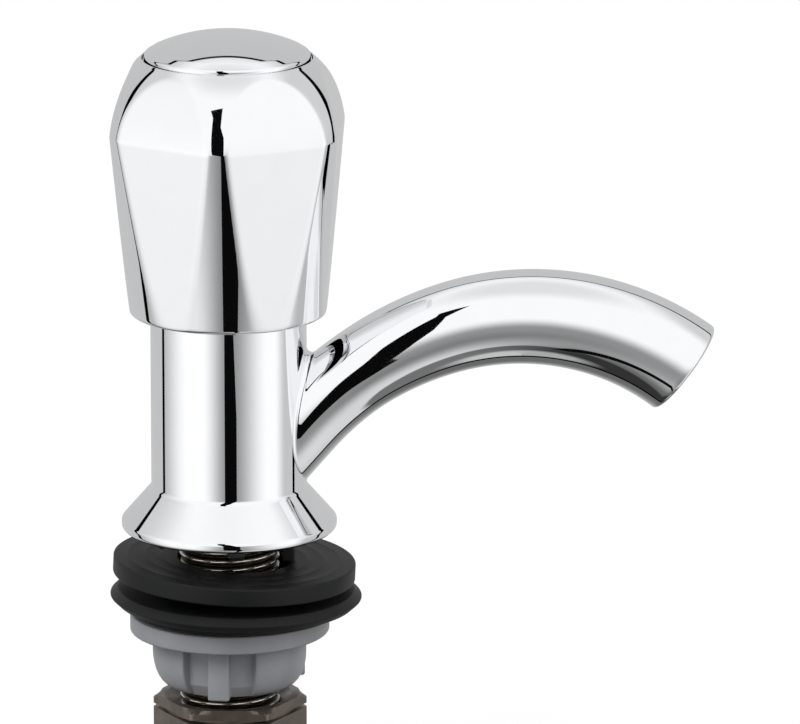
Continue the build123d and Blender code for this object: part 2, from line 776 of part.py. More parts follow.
# Plastic backnut
backnut_top = foot_level - (washer_foot_radius + washer_offset) * sin(radians(washer_tilt)) - loose_gap
backnut_body_top = backnut_top - backnut_flange_height
backnut_foot = backnut_body_top - backnut_height
with BuildPart() as plastic_backnut:
    with BuildSketch(Plane.XZ):
        with BuildLine():
            Line((0, backnut_foot), (backnut_foot_radius, backnut_foot))
            ThreePointArc(
                (backnut_foot_radius, backnut_foot),
                (backnut_radius - backnut_bulge, (2 * backnut_foot + backnut_body_top - backnut_round_start) / 3),
                (backnut_radius, backnut_body_top - backnut_round_start),
            )
            Polyline(
                (backnut_radius, backnut_body_top - backnut_round_start),
                (backnut_radius, backnut_body_top),
                (backnut_flange_radius, backnut_body_top),
                (backnut_flange_radius, backnut_top),
                (0, backnut_top),
                (0, backnut_foot),
            )
        make_face()
    revolve(axis=Axis.Z)
    panel_depth = backnut_radius + 1 - backnut_panel_apothem
    panel_turn = degrees((backnut_rib_width + backnut_panel_width) / 2 / backnut_radius)
    with BuildSketch(Plane.XY.offset(backnut_foot)):
        for side in (-1, 1):
            with PolarLocations(
                backnut_panel_apothem + panel_depth / 2, 3, backnut_rib_angle + side * panel_turn
            ):
                Rectangle(panel_depth, backnut_panel_width)
    extrude(amount=backnut_height, mode=Mode.SUBTRACT)
    rib_reach = backnut_radius - thread_radius - 1
    with BuildSketch(Plane.XY.offset(backnut_foot)):
        with PolarLocations(backnut_radius - rib_reach / 2, 3, backnut_rib_angle):
            Rectangle(rib_reach, backnut_rib_width)
    extrude(amount=backnut_height)
    with BuildSketch(Plane.XY.offset(backnut_foot)):
        Circle(socket_radius)
    extrude(amount=backnut_top - backnut_foot, mode=Mode.SUBTRACT)
    mouth = plastic_backnut.faces().sort_by(Axis.Z)[0].edges().filter_by(GeomType.CIRCLE).sort_by(SortBy.RADIUS)[0]
    chamfer(mouth, length=backnut_thread_mouth)
plastic_backnut.part.label = "plastic_backnut"
export_step(plastic_backnut.part, "parts/plastic_backnut.step")

# Metal backnut: a hexagon turned at its corners, grooved and sunk round its thread
metal_nut_foot = metal_nut_top - metal_nut_height
groove_top = metal_nut_top - metal_nut_groove_drop
with BuildPart() as metal_backnut:
    with BuildSketch(Plane.XZ):
        with BuildLine():
            Polyline(
                (0, metal_nut_foot),
                (metal_nut_face_radius, metal_nut_foot),
                (metal_nut_corner_radius, metal_nut_foot + metal_nut_face_chamfer),
                (metal_nut_corner_radius, metal_nut_top - metal_nut_face_chamfer),
                (metal_nut_face_radius, metal_nut_top),
                (metal_nut_sink_radius, metal_nut_top),
                (socket_radius, metal_nut_top - metal_nut_sink_depth),
                (0, metal_nut_top - metal_nut_sink_depth),
                close=True,
            )
        make_face()
    revolve(axis=Axis.Z)
    with BuildSketch(Plane.XY.offset(metal_nut_foot)):
        RegularPolygon(metal_nut_flats / 2, 6, major_radius=False, rotation=0)
    extrude(amount=metal_nut_height, mode=Mode.INTERSECT)
    with BuildSketch(Plane.XY.offset(groove_top - metal_nut_groove_width)):
        Circle(metal_nut_corner_radius + 1)
        Circle(metal_nut_flats / 2 - metal_nut_groove_depth, mode=Mode.SUBTRACT)
    extrude(amount=metal_nut_groove_width, mode=Mode.SUBTRACT)
    with BuildSketch(Plane.XY.offset(metal_nut_foot)):
        Circle(socket_radius)
    extrude(amount=metal_nut_height, mode=Mode.SUBTRACT)
metal_backnut.part.label = "metal_backnut"
export_step(metal_backnut.part, "parts/metal_backnut.step")
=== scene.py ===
# %% [markdown]
# # A chromed pillar tap, dressed for its portrait
# The tap's pieces come as a fixed frame: real sizes, real places, joints that already
# work. This script gives that frame its looks. Pieces whose curves must mirror a studio
# cleanly are rebuilt here as fine meshes that stand exactly where the frame's pieces
# stand. The rest keep their shape and get a material.

# %% Load the frame
import json
from math import asin, atan2, cos, hypot, pi, radians, sin, sqrt, tan

import bmesh
import bpy
from mathutils import Matrix, Vector


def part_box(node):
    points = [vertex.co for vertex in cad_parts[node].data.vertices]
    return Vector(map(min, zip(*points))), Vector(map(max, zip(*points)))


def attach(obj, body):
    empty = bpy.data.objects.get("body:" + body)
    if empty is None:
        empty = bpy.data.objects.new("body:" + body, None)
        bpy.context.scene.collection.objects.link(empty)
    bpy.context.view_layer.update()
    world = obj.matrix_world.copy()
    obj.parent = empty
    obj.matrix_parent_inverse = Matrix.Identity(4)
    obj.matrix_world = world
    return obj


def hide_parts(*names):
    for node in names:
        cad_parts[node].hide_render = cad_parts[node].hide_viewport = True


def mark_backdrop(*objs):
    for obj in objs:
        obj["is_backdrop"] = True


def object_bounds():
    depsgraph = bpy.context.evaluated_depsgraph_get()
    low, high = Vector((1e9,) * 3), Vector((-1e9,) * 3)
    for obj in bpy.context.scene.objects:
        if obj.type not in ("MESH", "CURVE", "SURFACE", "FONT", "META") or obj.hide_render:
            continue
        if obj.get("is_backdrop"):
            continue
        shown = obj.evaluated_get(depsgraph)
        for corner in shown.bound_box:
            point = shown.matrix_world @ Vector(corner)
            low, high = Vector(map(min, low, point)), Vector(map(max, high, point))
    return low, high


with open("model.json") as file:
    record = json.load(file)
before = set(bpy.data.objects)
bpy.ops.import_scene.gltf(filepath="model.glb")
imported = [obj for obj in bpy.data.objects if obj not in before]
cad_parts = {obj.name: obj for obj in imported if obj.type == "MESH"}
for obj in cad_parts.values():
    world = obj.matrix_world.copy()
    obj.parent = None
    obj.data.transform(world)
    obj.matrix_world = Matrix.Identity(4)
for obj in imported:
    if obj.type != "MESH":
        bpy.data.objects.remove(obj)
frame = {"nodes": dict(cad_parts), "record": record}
cad_low, cad_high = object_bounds()
scene = bpy.context.scene
mm = 0.001

# %% [markdown]
# ## The camera
# The photograph is a product shot from far away through a long lens: the ellipses of the
# washers and the base hardly change from top to bottom. So the camera stands 2 m off, a
# little over 14 degrees up, with a lens long enough to fill an 800 by 724 picture.

# %% Place the camera
SHOT_DISTANCE = 2.0
SHOT_ELEVATION = radians(14.3)
SHOT_LENS = 432
SHOT_TARGET = Vector((0.0357, 0, 0.0355))

camera_data = bpy.data.cameras.new("product_camera")
camera_data.lens = SHOT_LENS
camera_data.sensor_width = 36
camera_data.clip_end = 20
camera = bpy.data.objects.new("product_camera", camera_data)
scene.collection.objects.link(camera)
away = Vector((0, -cos(SHOT_ELEVATION), sin(SHOT_ELEVATION)))
camera.location = SHOT_TARGET + away * SHOT_DISTANCE
camera.rotation_euler = away.to_track_quat("Z", "Y").to_euler()
scene.camera = camera
scene.view_settings.view_transform = "Standard"
print("camera at", tuple(round(v, 3) for v in camera.location))

# %% [markdown]
# ## Small helpers for shapes
# Most pieces here are turned on a lathe, so a piece starts as the outline of its section:
# corners in millimetres, each with the radius that rounds it. The outline is spun about
# the axis. A shape that isn't round is spun finely first, and its points are then moved
# in or out by a rule.

# %% Round the corners of an outline
ARC_STEPS = 6


def rounded(corners, closed=True):
    """Points in millimetres of an outline whose corners are (across, up, radius)."""
    points = []
    count = len(corners)
    for i, (x, y, radius) in enumerate(corners):
        here = Vector((x, y))
        if radius == 0 or (not closed and i in (0, count - 1)):
            points.append(here)
            continue
        back = (Vector(corners[i - 1][:2]) - here).normalized()
        ahead = (Vector(corners[(i + 1) % count][:2]) - here).normalized()
        half = back.angle(ahead) / 2
        reach = radius / tan(half)
        centre = here + (back + ahead).normalized() * (radius / sin(half))
        start = here + back * reach - centre
        end = here + ahead * reach - centre
        sweep = start.angle(end)
        for step in range(ARC_STEPS + 1):
            part = step / ARC_STEPS
            blend = start * sin((1 - part) * sweep) + end * sin(part * sweep)
            points.append(centre + blend / sin(sweep))
    return points


square = [(0, 0, 1), (4, 0, 1), (4, 4, 1), (0, 4, 1)]
print("a square with 1 mm corners has", len(rounded(square)), "points")

# %% Spin an outline about the upright axis
FULL_TURN = 2 * pi
SPIN_MERGE = 1e-6


def spun(outline, steps=128, turn=FULL_TURN, first=0.0):
    """A new bmesh: the closed outline in millimetres, spun about +Z."""
    bm = bmesh.new()
    verts = []
    for across, up in outline:
        verts.append(bm.verts.new((across * cos(first) * mm, across * sin(first) * mm, up * mm)))
    count = len(verts)
    edges = [bm.edges.new((verts[i], verts[(i + 1) % count])) for i in range(count)]
    bmesh.ops.spin(
        bm,
        geom=verts + edges,
        cent=(0, 0, 0),
        axis=(0, 0, 1),
        angle=turn,
        steps=steps,
        use_merge=turn == FULL_TURN,
    )
    bmesh.ops.remove_doubles(bm, verts=bm.verts, dist=SPIN_MERGE)
    return bm


print("a spun ring has", len(spun([(5, 0), (6, 0), (6, 1), (5, 1)]).faces), "faces")

# %% Finish a bmesh as a piece that rides on a body and stands for a node
SHARP_ANGLE = radians(40)
FINAL_MERGE = 1e-7
pieces = {}
stands_for = {}


def add_object(bm, name):
    """Puts a bmesh into the scene as an object and frees it."""
    mesh = bpy.data.meshes.new(name)
    bm.to_mesh(mesh)
    bm.free()
    made = bpy.data.objects.new(name, mesh)
    scene.collection.objects.link(made)
    return made


def finish_piece(bm, name, body, node):
    """Turns a bmesh into a smooth-shaded object in place of a frame node."""
    bmesh.ops.remove_doubles(bm, verts=bm.verts, dist=FINAL_MERGE)
    bmesh.ops.delete(bm, geom=[edge for edge in bm.edges if not edge.link_faces], context="EDGES")
    bmesh.ops.recalc_face_normals(bm, faces=bm.faces)
    for face in bm.faces:
        face.smooth = True
    for edge in bm.edges:
        if len(edge.link_faces) == 2 and edge.calc_face_angle(0) > SHARP_ANGLE:
            edge.smooth = False
    open_edges = sum(1 for edge in bm.edges if len(edge.link_faces) != 2)
    triangles = sum(len(face.verts) - 2 for face in bm.faces)
    piece = add_object(bm, name)
    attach(piece, body)
    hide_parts(node)
    pieces[name] = piece
    stands_for[name] = node
    print(name, "triangles", triangles, "open edges", open_edges)


# %% Round the edges of a block
BEVEL_STEPS = 3


def soften(bm, edges, width):
    """Rounds some edges of a bmesh and gives the new faces."""
    bevelled = bmesh.ops.bevel(
        bm,
        geom=edges,
        offset=width,
        offset_type="OFFSET",
        segments=BEVEL_STEPS,
        profile=0.5,
        affect="EDGES",
        material=-1,
        clamp_overlap=True,
    )
    return bevelled["faces"]


print("blocks are rounded in", BEVEL_STEPS, "steps")

# %% Blend two lengths where they meet
def soft_min(a, b, width):
    """The smaller of two lengths, rounded over where they differ by less than a width."""
    overlap = max(width - abs(a - b), 0) / width
    return min(a, b) - overlap * overlap * width / 4


print("soft_min(1, 1, 0.4) =", soft_min(1, 1, 0.4))

# %% [markdown]
# ## The body: flange, barrel and spout in one skin
# The real body is one brass casting, ground, polished and plated, so the spout grows out
# of the barrel through a small even fillet. No operator rounds the saddle between two
# tubes cleanly, so that fillet is worked out: a ball of the fillet's radius, rolled along
# the corner, keeps its own radius from both tubes. Its centre fixes one point on the
# barrel and one on the spout for every direction round the spout.

# %% The body's sizes
barrel_radius = 16.27
barrel_top = 55.0
wide_radius, bend_radius = 66.5, 54.5
apex_x, apex_z = 62.1, 45.3
root_angle, knee_angle, end_angle = radians(-49.0), radians(-17.0), radians(37.2)
root_radius, apex_radius, end_radius = 8.8, 9.92, 10.5
growth_start = 15.5
saddle_round = 1.2
lip_round = 0.8
recess_radius, recess_depth, recess_lead = 8.7, 7.5, 0.2
bore_radius, bore_shown = 8.1, 6
neck_top = 9.75
tail_hole = 10.53
around_spout = 144
around_back = 150
growth_blend, root_blend = 0.2, 0.1

bend_centre = Vector((apex_x, 0, apex_z - bend_radius))
knee_way = Vector((sin(knee_angle), 0, cos(knee_angle)))
wide_centre = bend_centre - knee_way * (wide_radius - bend_radius)
knee_at = wide_radius * (knee_angle - root_angle)
apex_at = knee_at - bend_radius * knee_angle
end_at = apex_at + bend_radius * end_angle
side = Vector((0, 1, 0))


def on_spout(length):
    """Centre, along and up of the section some millimetres past the spout's straight root."""
    if length < knee_at:
        angle = root_angle + max(length, 0) / wide_radius
        centre, reach = wide_centre, wide_radius
    else:
        angle = knee_angle + (length - knee_at) / bend_radius
        centre, reach = bend_centre, bend_radius
    up = Vector((sin(angle), 0, cos(angle)))
    along = Vector((cos(angle), 0, -sin(angle)))
    return centre + up * reach + along * min(length, 0), along, up


def outer_radius(length):
    """The spout is even at its root and then grows, faster before its highest point."""
    early_share = (length - growth_start) / (apex_at - growth_start)
    late_share = (length - apex_at) / (end_at - apex_at)
    early = root_radius + (apex_radius - root_radius) * early_share
    late = apex_radius + (end_radius - apex_radius) * late_share
    return -soft_min(-root_radius, -soft_min(early, late, growth_blend), root_blend)


def spout_point(k, length, radius, ahead=0.0):
    """Point k of the ring round the spout's line, moved ahead along it by some millimetres."""
    phi = 2 * pi * k / around_spout
    centre, along, up = on_spout(length)
    return centre + along * ahead + (up * cos(phi) + side * sin(phi)) * radius


foot = on_spout(0)[0]
print("the straight root ends at", tuple(round(v, 2) for v in foot))
print("the spout ends after", round(end_at, 1), "mm")

# %% Roll the ball along the corner
saddle_steps = 8


def saddle_column(k):
    """Points from the barrel to the spout, and how far along the spout they end."""
    phi = 2 * pi * k / around_spout
    ball = root_radius + saddle_round
    y = ball * sin(phi)
    x = sqrt((barrel_radius + saddle_round) ** 2 - y * y)
    length = wide_radius * (asin((x - wide_centre.x) / (wide_radius + ball * cos(phi))) - root_angle)
    if length < 0:
        length = (x - foot.x - ball * cos(phi) * sin(root_angle)) / cos(root_angle)
    centre = spout_point(k, length, ball)
    to_spout = (spout_point(k, length, root_radius) - centre).normalized()
    to_barrel = -Vector((centre.x, centre.y, 0)).normalized()
    sweep = to_barrel.angle(to_spout)
    column = []
    for step in range(saddle_steps + 1):
        part = step / saddle_steps
        blend = to_barrel * sin((1 - part) * sweep) + to_spout * sin(part * sweep)
        column.append(centre + blend * (saddle_round / sin(sweep)))
    return column, length


columns = [saddle_column(k) for k in range(around_spout)]
saddle_low, saddle_high = columns[around_spout // 2][0][0].z, columns[0][0][0].z
print("saddle runs from z", round(saddle_low, 2), "to", round(saddle_high, 2))

# %% Skin the saddle and the spout
body = bmesh.new()


def ring_of(points):
    """New vertices of the body at points in millimetres."""
    return [body.verts.new(p * mm) for p in points]


def stitch(lower, upper):
    """Faces between two closed rings of as many points."""
    count = len(lower)
    for i in range(count):
        j = (i + 1) % count
        body.faces.new((lower[i], lower[j], upper[j], upper[i]))


rows = [ring_of([column[step] for column, length in columns]) for step in range(saddle_steps + 1)]
for low, high in zip(rows, rows[1:]):
    stitch(low, high)

even_at, even_rows = 14.0, 14
bend_steps, lip_steps = 90, 6
last = rows[-1]
for row in range(1, even_rows + 1):
    points = []
    for k, (column, length) in enumerate(columns):
        here = length + (even_at - length) * row / even_rows
        points.append(spout_point(k, here, outer_radius(here)))
    ring = ring_of(points)
    stitch(last, ring)
    last = ring
for step in range(1, bend_steps + 1):
    here = even_at + (end_at - lip_round - even_at) * step / bend_steps
    ring = ring_of([spout_point(k, here, outer_radius(here)) for k in range(around_spout)])
    stitch(last, ring)
    last = ring
lip_turns = [pi / 2 * step / lip_steps for step in range(1, lip_steps + 1)]
mouth = [(end_radius - lip_round * (1 - cos(turn)), -lip_round * (1 - sin(turn))) for turn in lip_turns]
mouth += [
    (recess_radius + recess_lead, 0.0),
    (recess_radius, -recess_lead),
    (recess_radius, -recess_depth),
    (bore_radius, -recess_depth),
    (bore_radius, -recess_depth - bore_shown),
]
for radius, ahead in mouth:
    ring = ring_of([spout_point(k, end_at, radius, ahead) for k in range(around_spout)])
    stitch(last, ring)
    last = ring
body.faces.new(last)
print("spout faces", len(body.faces))

# %% [markdown]
# The barrel is cut in upright strips. Round the spout the strips stand where the saddle's
# points stand, because a point and its mirror below lie at the same angle. Everywhere else
# the strips are even. A short row next to the saddle keeps the shading of its edge from
# running up and down the barrel. The flange grows from the barrel's lower ring by adding
# rings along the flange's section.

# %% Skin the barrel
quarter = around_spout // 4
foot_row = rows[0]
tops = [foot_row[k % around_spout] for k in range(-quarter, quarter + 1)]
bottoms = [foot_row[(around_spout // 2 - k) % around_spout] for k in range(-quarter, quarter + 1)]
spread = asin((root_radius + saddle_round) / (barrel_radius + saddle_round))
back_angles = [spread + (2 * pi - 2 * spread) * i / around_back for i in range(1, around_back)]
all_angles = [atan2(vert.co.y, vert.co.x) for vert in tops] + back_angles


def on_barrel(angle, z, radius=barrel_radius):
    """A point of the barrel, or of a ring about its axis."""
    return Vector((radius * cos(angle), radius * sin(angle), z))


NEAR_ROW, NEAR_SHARE = 0.3, 0.3
back_row = ring_of([on_barrel(a, tops[0].co.z / mm) for a in back_angles])
ends = []
for start, goal in ((tops + back_row, barrel_top), (bottoms + back_row, neck_top)):
    levels = [vert.co.z / mm for vert in start]
    ring = start
    for share in (0.0, 0.35, 0.7, 1.0):
        points = []
        for angle, z in zip(all_angles, levels):
            near = max(-NEAR_ROW, min(NEAR_ROW, (goal - z) * NEAR_SHARE))
            points.append(on_barrel(angle, z + near + (goal - z - near) * share))
        new = ring_of(points)
        stitch(ring, new)
        ring = new
    ends.append(ring)
high_ring, low_ring = ends
print("barrel columns", len(all_angles))

# %% Grow the flange down and the valve chamber's mouth inwards
flange_radius, flange_edge, flange_round = 22.5, 2.0, 1.0
cone_top, cone_round = 9.2, 1.5
tail_top, waterway = 8.0, 5.0
chamber_depth = 12
flange_section = rounded(
    [
        (barrel_radius, neck_top, 0),
        (barrel_radius, cone_top, cone_round),
        (flange_radius, flange_edge, flange_round),
        (flange_radius, 0.0, flange_round),
        (tail_hole, 0.0, 0.3),
        (tail_hole, tail_top, 0),
        (waterway, tail_top, 0),
    ],
    closed=False,
)
ring = low_ring
for point in flange_section[1:]:
    new = ring_of([on_barrel(a, point.y, point.x) for a in all_angles])
    stitch(ring, new)
    ring = new
body.faces.new(ring)
ring = high_ring
for z in (barrel_top, barrel_top - chamber_depth):
    new = ring_of([on_barrel(a, z, tail_hole) for a in all_angles])
    stitch(ring, new)
    ring = new
body.faces.new(ring)
print("body faces", len(body.faces))

# %% [markdown]
# Five cast lugs under the flange centre the tap in its hole. Each is a small block,
# narrower at its foot because a casting needs draft, with softened edges.

# %% Add the centring lugs
lug_count = 5
lug_first = radians(-83.5)
lug_radius, lug_radial, lug_width, lug_height = 15.65, 3.2, 4.9, 2.8
lug_draft, lug_sink, lug_round = 0.91, 0.2, 0.35

for i in range(lug_count):
    made = bmesh.ops.create_cube(body, size=1.0)
    for vert in made["verts"]:
        low = vert.co.z < 0
        shrink = lug_draft * 2 if low else 0.0
        vert.co.x *= lug_radial - shrink
        vert.co.y *= lug_width - shrink
        vert.co.z = -lug_height if low else lug_sink
    edges = list({edge for vert in made["verts"] for edge in vert.link_edges})
    verts = list({vert for face in soften(body, edges, lug_round) for vert in face.verts})
    bmesh.ops.translate(body, vec=(lug_radius, 0, 0), verts=verts)
    place = Matrix.Rotation(lug_first + 2 * pi * i / lug_count, 4, "Z")
    bmesh.ops.transform(body, matrix=place @ Matrix.Scale(mm, 4), verts=verts)

finish_piece(body, "body_shell", "tap", "tap_body")

# %% [markdown]
# ## The knob
# The knob is die-cast zinc, chromed like the body: a bellied cone and dome with six flats
# for the fingers. It starts as a finely spun skin. Each point is then drawn in to the
# nearest flat, with the meeting softened over half a millimetre, which is what polishing
# does to such edges. The lower flats lean in towards the rim and the upper ones towards
# the cap, so a faint crease runs round the widest level.

# %% The knob's sizes
rim_z, rim_radius, rim_inner = 46.3, 20.55, 18.05
rim_round, rim_inner_round = 1.0, 0.3
crease_z, crease_radius = 85.6, 26.1
lip_z, lip_radius, lip_edge = 100.5, 18.0, 0.12
dome_radius = 24.0
flat_foot, flat_crease, flat_top = (20.31, 45.3), (23.55, crease_z), (19.3, 99.3)
flat_bulge = 35.0
first_corner = radians(-94.0)
edge_width = 0.28
crease_width = 0.12
recess_wall = 17.72
cap_ledge = 97.4
well_radius, well_floor, well_wall = 12.0, 85.55, 14.2
web_foot, screw_hole = 83.55, 2.02
hub_bore, hub_outer, hub_foot = 7.0, 9.2, 69.15
hollow_top, hollow_top_radius, hollow_crease_radius = 93.0, 16.8, 21.05


def arc_centre(start, end, radius):
    """Centre of an arc that bulges away from the axis, between two points of a section."""
    chord = Vector(end) - Vector(start)
    inward = Vector((-chord.y, chord.x)).normalized()
    return Vector(start) + chord / 2 + inward * sqrt(radius**2 - (chord.length / 2) ** 2)


dome_centre = arc_centre((crease_radius, crease_z), (lip_radius, lip_z), dome_radius)
flat_centre = arc_centre(flat_crease, flat_top, flat_bulge)
print("dome centre", tuple(round(v, 2) for v in dome_centre))
print("flat centre", tuple(round(v, 2) for v in flat_centre))

# %% Lay out the rows of the knob's skin
SIDE_ROW, CREASE_ROW, DOME_ROW = 0.55, 0.12, 0.26
RIM_ZONE, CREASE_ZONE, LIP_ZONE = 0.4, 1.2, 0.25
RIM_GUIDE = 49.0


def steps_between(start, end, spacing):
    """Even levels from the start up to, but without, the end."""
    count = max(1, round(abs(end - start) / spacing))
    return [start + (end - start) * i / count for i in range(count)]


def skin_radius(z):
    """Radius of the knob's turned form at a height, before the flats are cut."""
    if z <= crease_z:
        return rim_radius + (crease_radius - rim_radius) * (z - rim_z) / (crease_z - rim_z)
    return dome_centre.x + sqrt(dome_radius**2 - (z - dome_centre.y) ** 2)


rim_corner = rounded(
    [
        (rim_inner, rim_z, rim_inner_round),
        (rim_radius, rim_z, rim_round),
        (skin_radius(RIM_GUIDE), RIM_GUIDE, 0),
    ],
    closed=False,
)
lip_top = lip_z + 0.05
lip_corner = rounded(
    [
        (skin_radius(lip_z - LIP_ZONE), lip_z - LIP_ZONE, 0),
        (lip_radius, lip_top, lip_edge),
        (recess_wall, lip_top, lip_edge),
        (recess_wall, cap_ledge, 0),
    ],
    closed=False,
)
levels = (
    steps_between(rim_corner[-2].y + RIM_ZONE, crease_z - CREASE_ZONE, SIDE_ROW)
    + steps_between(crease_z - CREASE_ZONE, crease_z + CREASE_ZONE, CREASE_ROW)
    + steps_between(crease_z + CREASE_ZONE, lip_z - LIP_ZONE, DOME_ROW)
)
outline = [(rim_inner, rim_z + RIM_ZONE)] + rim_corner[1:-1]
outline += [(skin_radius(z), z) for z in levels] + lip_corner
outline += [
    (well_radius, cap_ledge),
    (well_radius, well_floor),
    (screw_hole, well_floor),
    (screw_hole, web_foot),
    (hub_bore, web_foot),
    (hub_bore, hub_foot),
    (hub_outer, hub_foot),
    (hub_outer, web_foot),
    (well_wall, web_foot),
    (well_wall, hollow_top),
    (hollow_top_radius, hollow_top),
    (hollow_crease_radius, crease_z),
]
print("rows", len(outline))

# %% Spin the skin and cut the flats
KNOB_COLUMNS = 420
FACING = 0.3
SKIN_DEPTH = 1.2
arch_from = crease_z - 3
inner_reach, inner_z = 18.6, 95.0
knob = spun(outline, steps=KNOB_COLUMNS)
flat_angles = [first_corner + pi / 6 + pi / 3 * i for i in range(6)]


def flat_limit(angle, z):
    """How far out the flats let the skin reach, in one direction at one height."""
    lower_share = (z - flat_foot[1]) / (crease_z - flat_foot[1])
    lower = flat_foot[0] + (flat_crease[0] - flat_foot[0]) * lower_share
    upper = flat_centre.x + sqrt(flat_bulge**2 - (max(z, arch_from) - flat_centre.y) ** 2)
    reach = soft_min(lower, upper, crease_width)
    facings = [cos(angle - flat) for flat in flat_angles]
    return min(reach / facing for facing in facings if facing > FACING)


for vert in knob.verts:
    radius = hypot(vert.co.x, vert.co.y) / mm
    z = vert.co.z / mm
    outer = radius > max(recess_wall + 0.05, skin_radius(max(z, rim_z)) - SKIN_DEPTH)
    if outer and z < lip_z + 0.1 and radius > inner_reach - max(0.0, z - inner_z):
        new = soft_min(radius, flat_limit(atan2(vert.co.y, vert.co.x), z), edge_width)
        vert.co.x *= new / radius
        vert.co.y *= new / radius
finish_piece(knob, "knob_shell", "handle", "knob")

# %% [markdown]
# ## The cap
# A plain chromed disc with a low dome closes the knob. It sits in a recess with a thin
# dark gap round it, and a spigot below presses into the knob's well. Its middle is left
# bare.

# %% Spin the cap
cap_radius = 17.25
cap_shoulder = 101.6
cap_rise = 4.2
cap_bevel, cap_bevel_rise, cap_round = 1.6, 0.55, 0.75
cap_inner_edge = 0.3
cap_rows = 40
cap_floor = cap_ledge - 1.0
spigot_radius, spigot_bore, spigot_foot = 11.98, 10.4, cap_ledge - 3.6
cap_curve = (cap_radius**2 + cap_rise**2) / (2 * cap_rise)

cap_edge = rounded(
    [
        (cap_radius, cap_ledge, 0),
        (cap_radius, cap_shoulder - 0.15, cap_round),
        (cap_radius - cap_bevel, cap_shoulder + cap_bevel_rise, 0),
    ],
    closed=False,
)
cap_outline = [(spigot_radius, cap_ledge), (cap_radius - cap_inner_edge, cap_ledge)] + cap_edge[:-1]
cap_top = cap_shoulder + cap_rise
for i in range(cap_rows):
    across = cap_edge[-1].x * (1 - i / cap_rows)
    cap_outline.append((across, cap_top - cap_curve + sqrt(cap_curve**2 - across**2)))
cap_outline += [(0.0, cap_top), (0.0, cap_floor), (spigot_bore, cap_floor)]
cap_outline += [(spigot_bore, spigot_foot), (spigot_radius, spigot_foot)]
cap = spun(cap_outline, steps=256)
finish_piece(cap, "cap_dome", "handle", "cap")

# %% [markdown]
# ## The threaded tail
# A half-inch pipe thread has 1.814 mm from crest to crest and rounded crests and roots.
# A helix can't be spun, but its surface can be written as a rule: how far out a point
# lies depends only on its height and its angle. So a finely spun tube is moved in and out
# by that rule.

# %% Cut the thread
thread_radius = 10.48
thread_pitch = 1.814
thread_depth = 1.16
thread_sharpness = 1.35
thread_from = 1.0
tail_foot = -58.0
tail_bore, bore_chamfer = 6.5, 0.6
thread_end_chamfer = 1.2
rows_per_turn = 14

tail_levels = steps_between(tail_foot, thread_from, thread_pitch / rows_per_turn)
tail_outline = [
    (tail_bore, tail_top),
    (tail_bore, tail_foot + bore_chamfer),
    (tail_bore + bore_chamfer, tail_foot),
]
tail_outline += [(thread_radius, z) for z in tail_levels] + [(thread_radius, tail_top)]
tail = spun(tail_outline, steps=112)


def thread_reach(angle, z):
    """Radius of the thread's surface at a height and an angle."""
    phase = (z / thread_pitch - angle / (2 * pi)) % 1.0
    wave = max(-1.0, min(1.0, (1 - 4 * abs(phase - 0.5)) * thread_sharpness))
    ground = thread_radius - thread_depth * (1 - sin(pi / 2 * wave)) / 2
    chamfer = thread_radius - thread_end_chamfer + (z - tail_foot)
    return min(ground, chamfer)


for vert in tail.verts:
    radius = hypot(vert.co.x, vert.co.y) / mm
    z = vert.co.z / mm
    if radius > thread_radius - 0.01 and z < thread_from:
        scale = thread_reach(atan2(vert.co.y, vert.co.x), z) / radius
        vert.co.x *= scale
        vert.co.y *= scale
finish_piece(tail, "tail_thread", "tap", "threaded_tail")

# %% [markdown]
# ## The two rubber washers
# Both are moulded rubber and hang loose, a degree or two askew, as in the photograph. Each
# is spun about its own upright axis and then leaned over and moved to its place. The flat
# one has the faint rings of its mould on its top.

# %% Spin the flat washer
gasket_offset = 1.1
gasket_top, gasket_height = -6.6, 3.9
gasket_radius, gasket_hole = 25.4, 12.0
gasket_tilt = radians(2.7)
mould_rings = (15.2, 18.6, 22.3)
ring_rise, ring_half = 0.07, 0.25


def lean_over(bm, tilt, offset, height=0.0):
    """Leans a spun washer towards +X and moves it to its place on the tail."""
    place = Matrix.Translation(Vector((offset, 0, height)) * mm) @ Matrix.Rotation(tilt, 4, "Y")
    bmesh.ops.transform(bm, matrix=place, verts=bm.verts)


top_face = []
for r in reversed(mould_rings):
    top_face += [(r + ring_half, 0.0, 0), (r, ring_rise, 0), (r - ring_half, 0.0, 0)]
gasket_side = [
    (gasket_hole, -gasket_height, 0.3),
    (gasket_radius, -gasket_height, 0.5),
    (gasket_radius, 0.0, 0.5),
]
gasket = spun(rounded(gasket_side + top_face + [(gasket_hole, 0.0, 0.4)]), steps=160)
lean_over(gasket, gasket_tilt, gasket_offset, gasket_top)
finish_piece(gasket, "flat_washer", "tap", "top_washer")

# %% Spin the flanged washer
washer_offset = 1.6
washer_tilt = radians(1.0)
washer_hole, hub_radius, hub_top = 12.3, 14.2, -11.494
foot_radius, waist_radius, shoulder_radius, point_radius = 22.0, 22.6, 24.8, 26.5
crest_z = hub_top - 1.5
rim_foot = crest_z - 3.2
foot_z = rim_foot - 1.4
washer_outline = rounded(
    [
        (washer_hole, foot_z, 0.3),
        (foot_radius, foot_z, 0.4),
        (waist_radius, rim_foot, 0.3),
        (shoulder_radius, rim_foot, 0.4),
        (point_radius, (crest_z + rim_foot) / 2, 0.35),
        (shoulder_radius, crest_z, 0.5),
        (hub_radius, crest_z, 0.5),
        (hub_radius, hub_top, 0.3),
        (washer_hole, hub_top, 0.3),
    ]
)
flanged = spun(washer_outline, steps=160)
lean_over(flanged, washer_tilt, washer_offset)
finish_piece(flanged, "rim_washer", "tap", "flanged_washer")

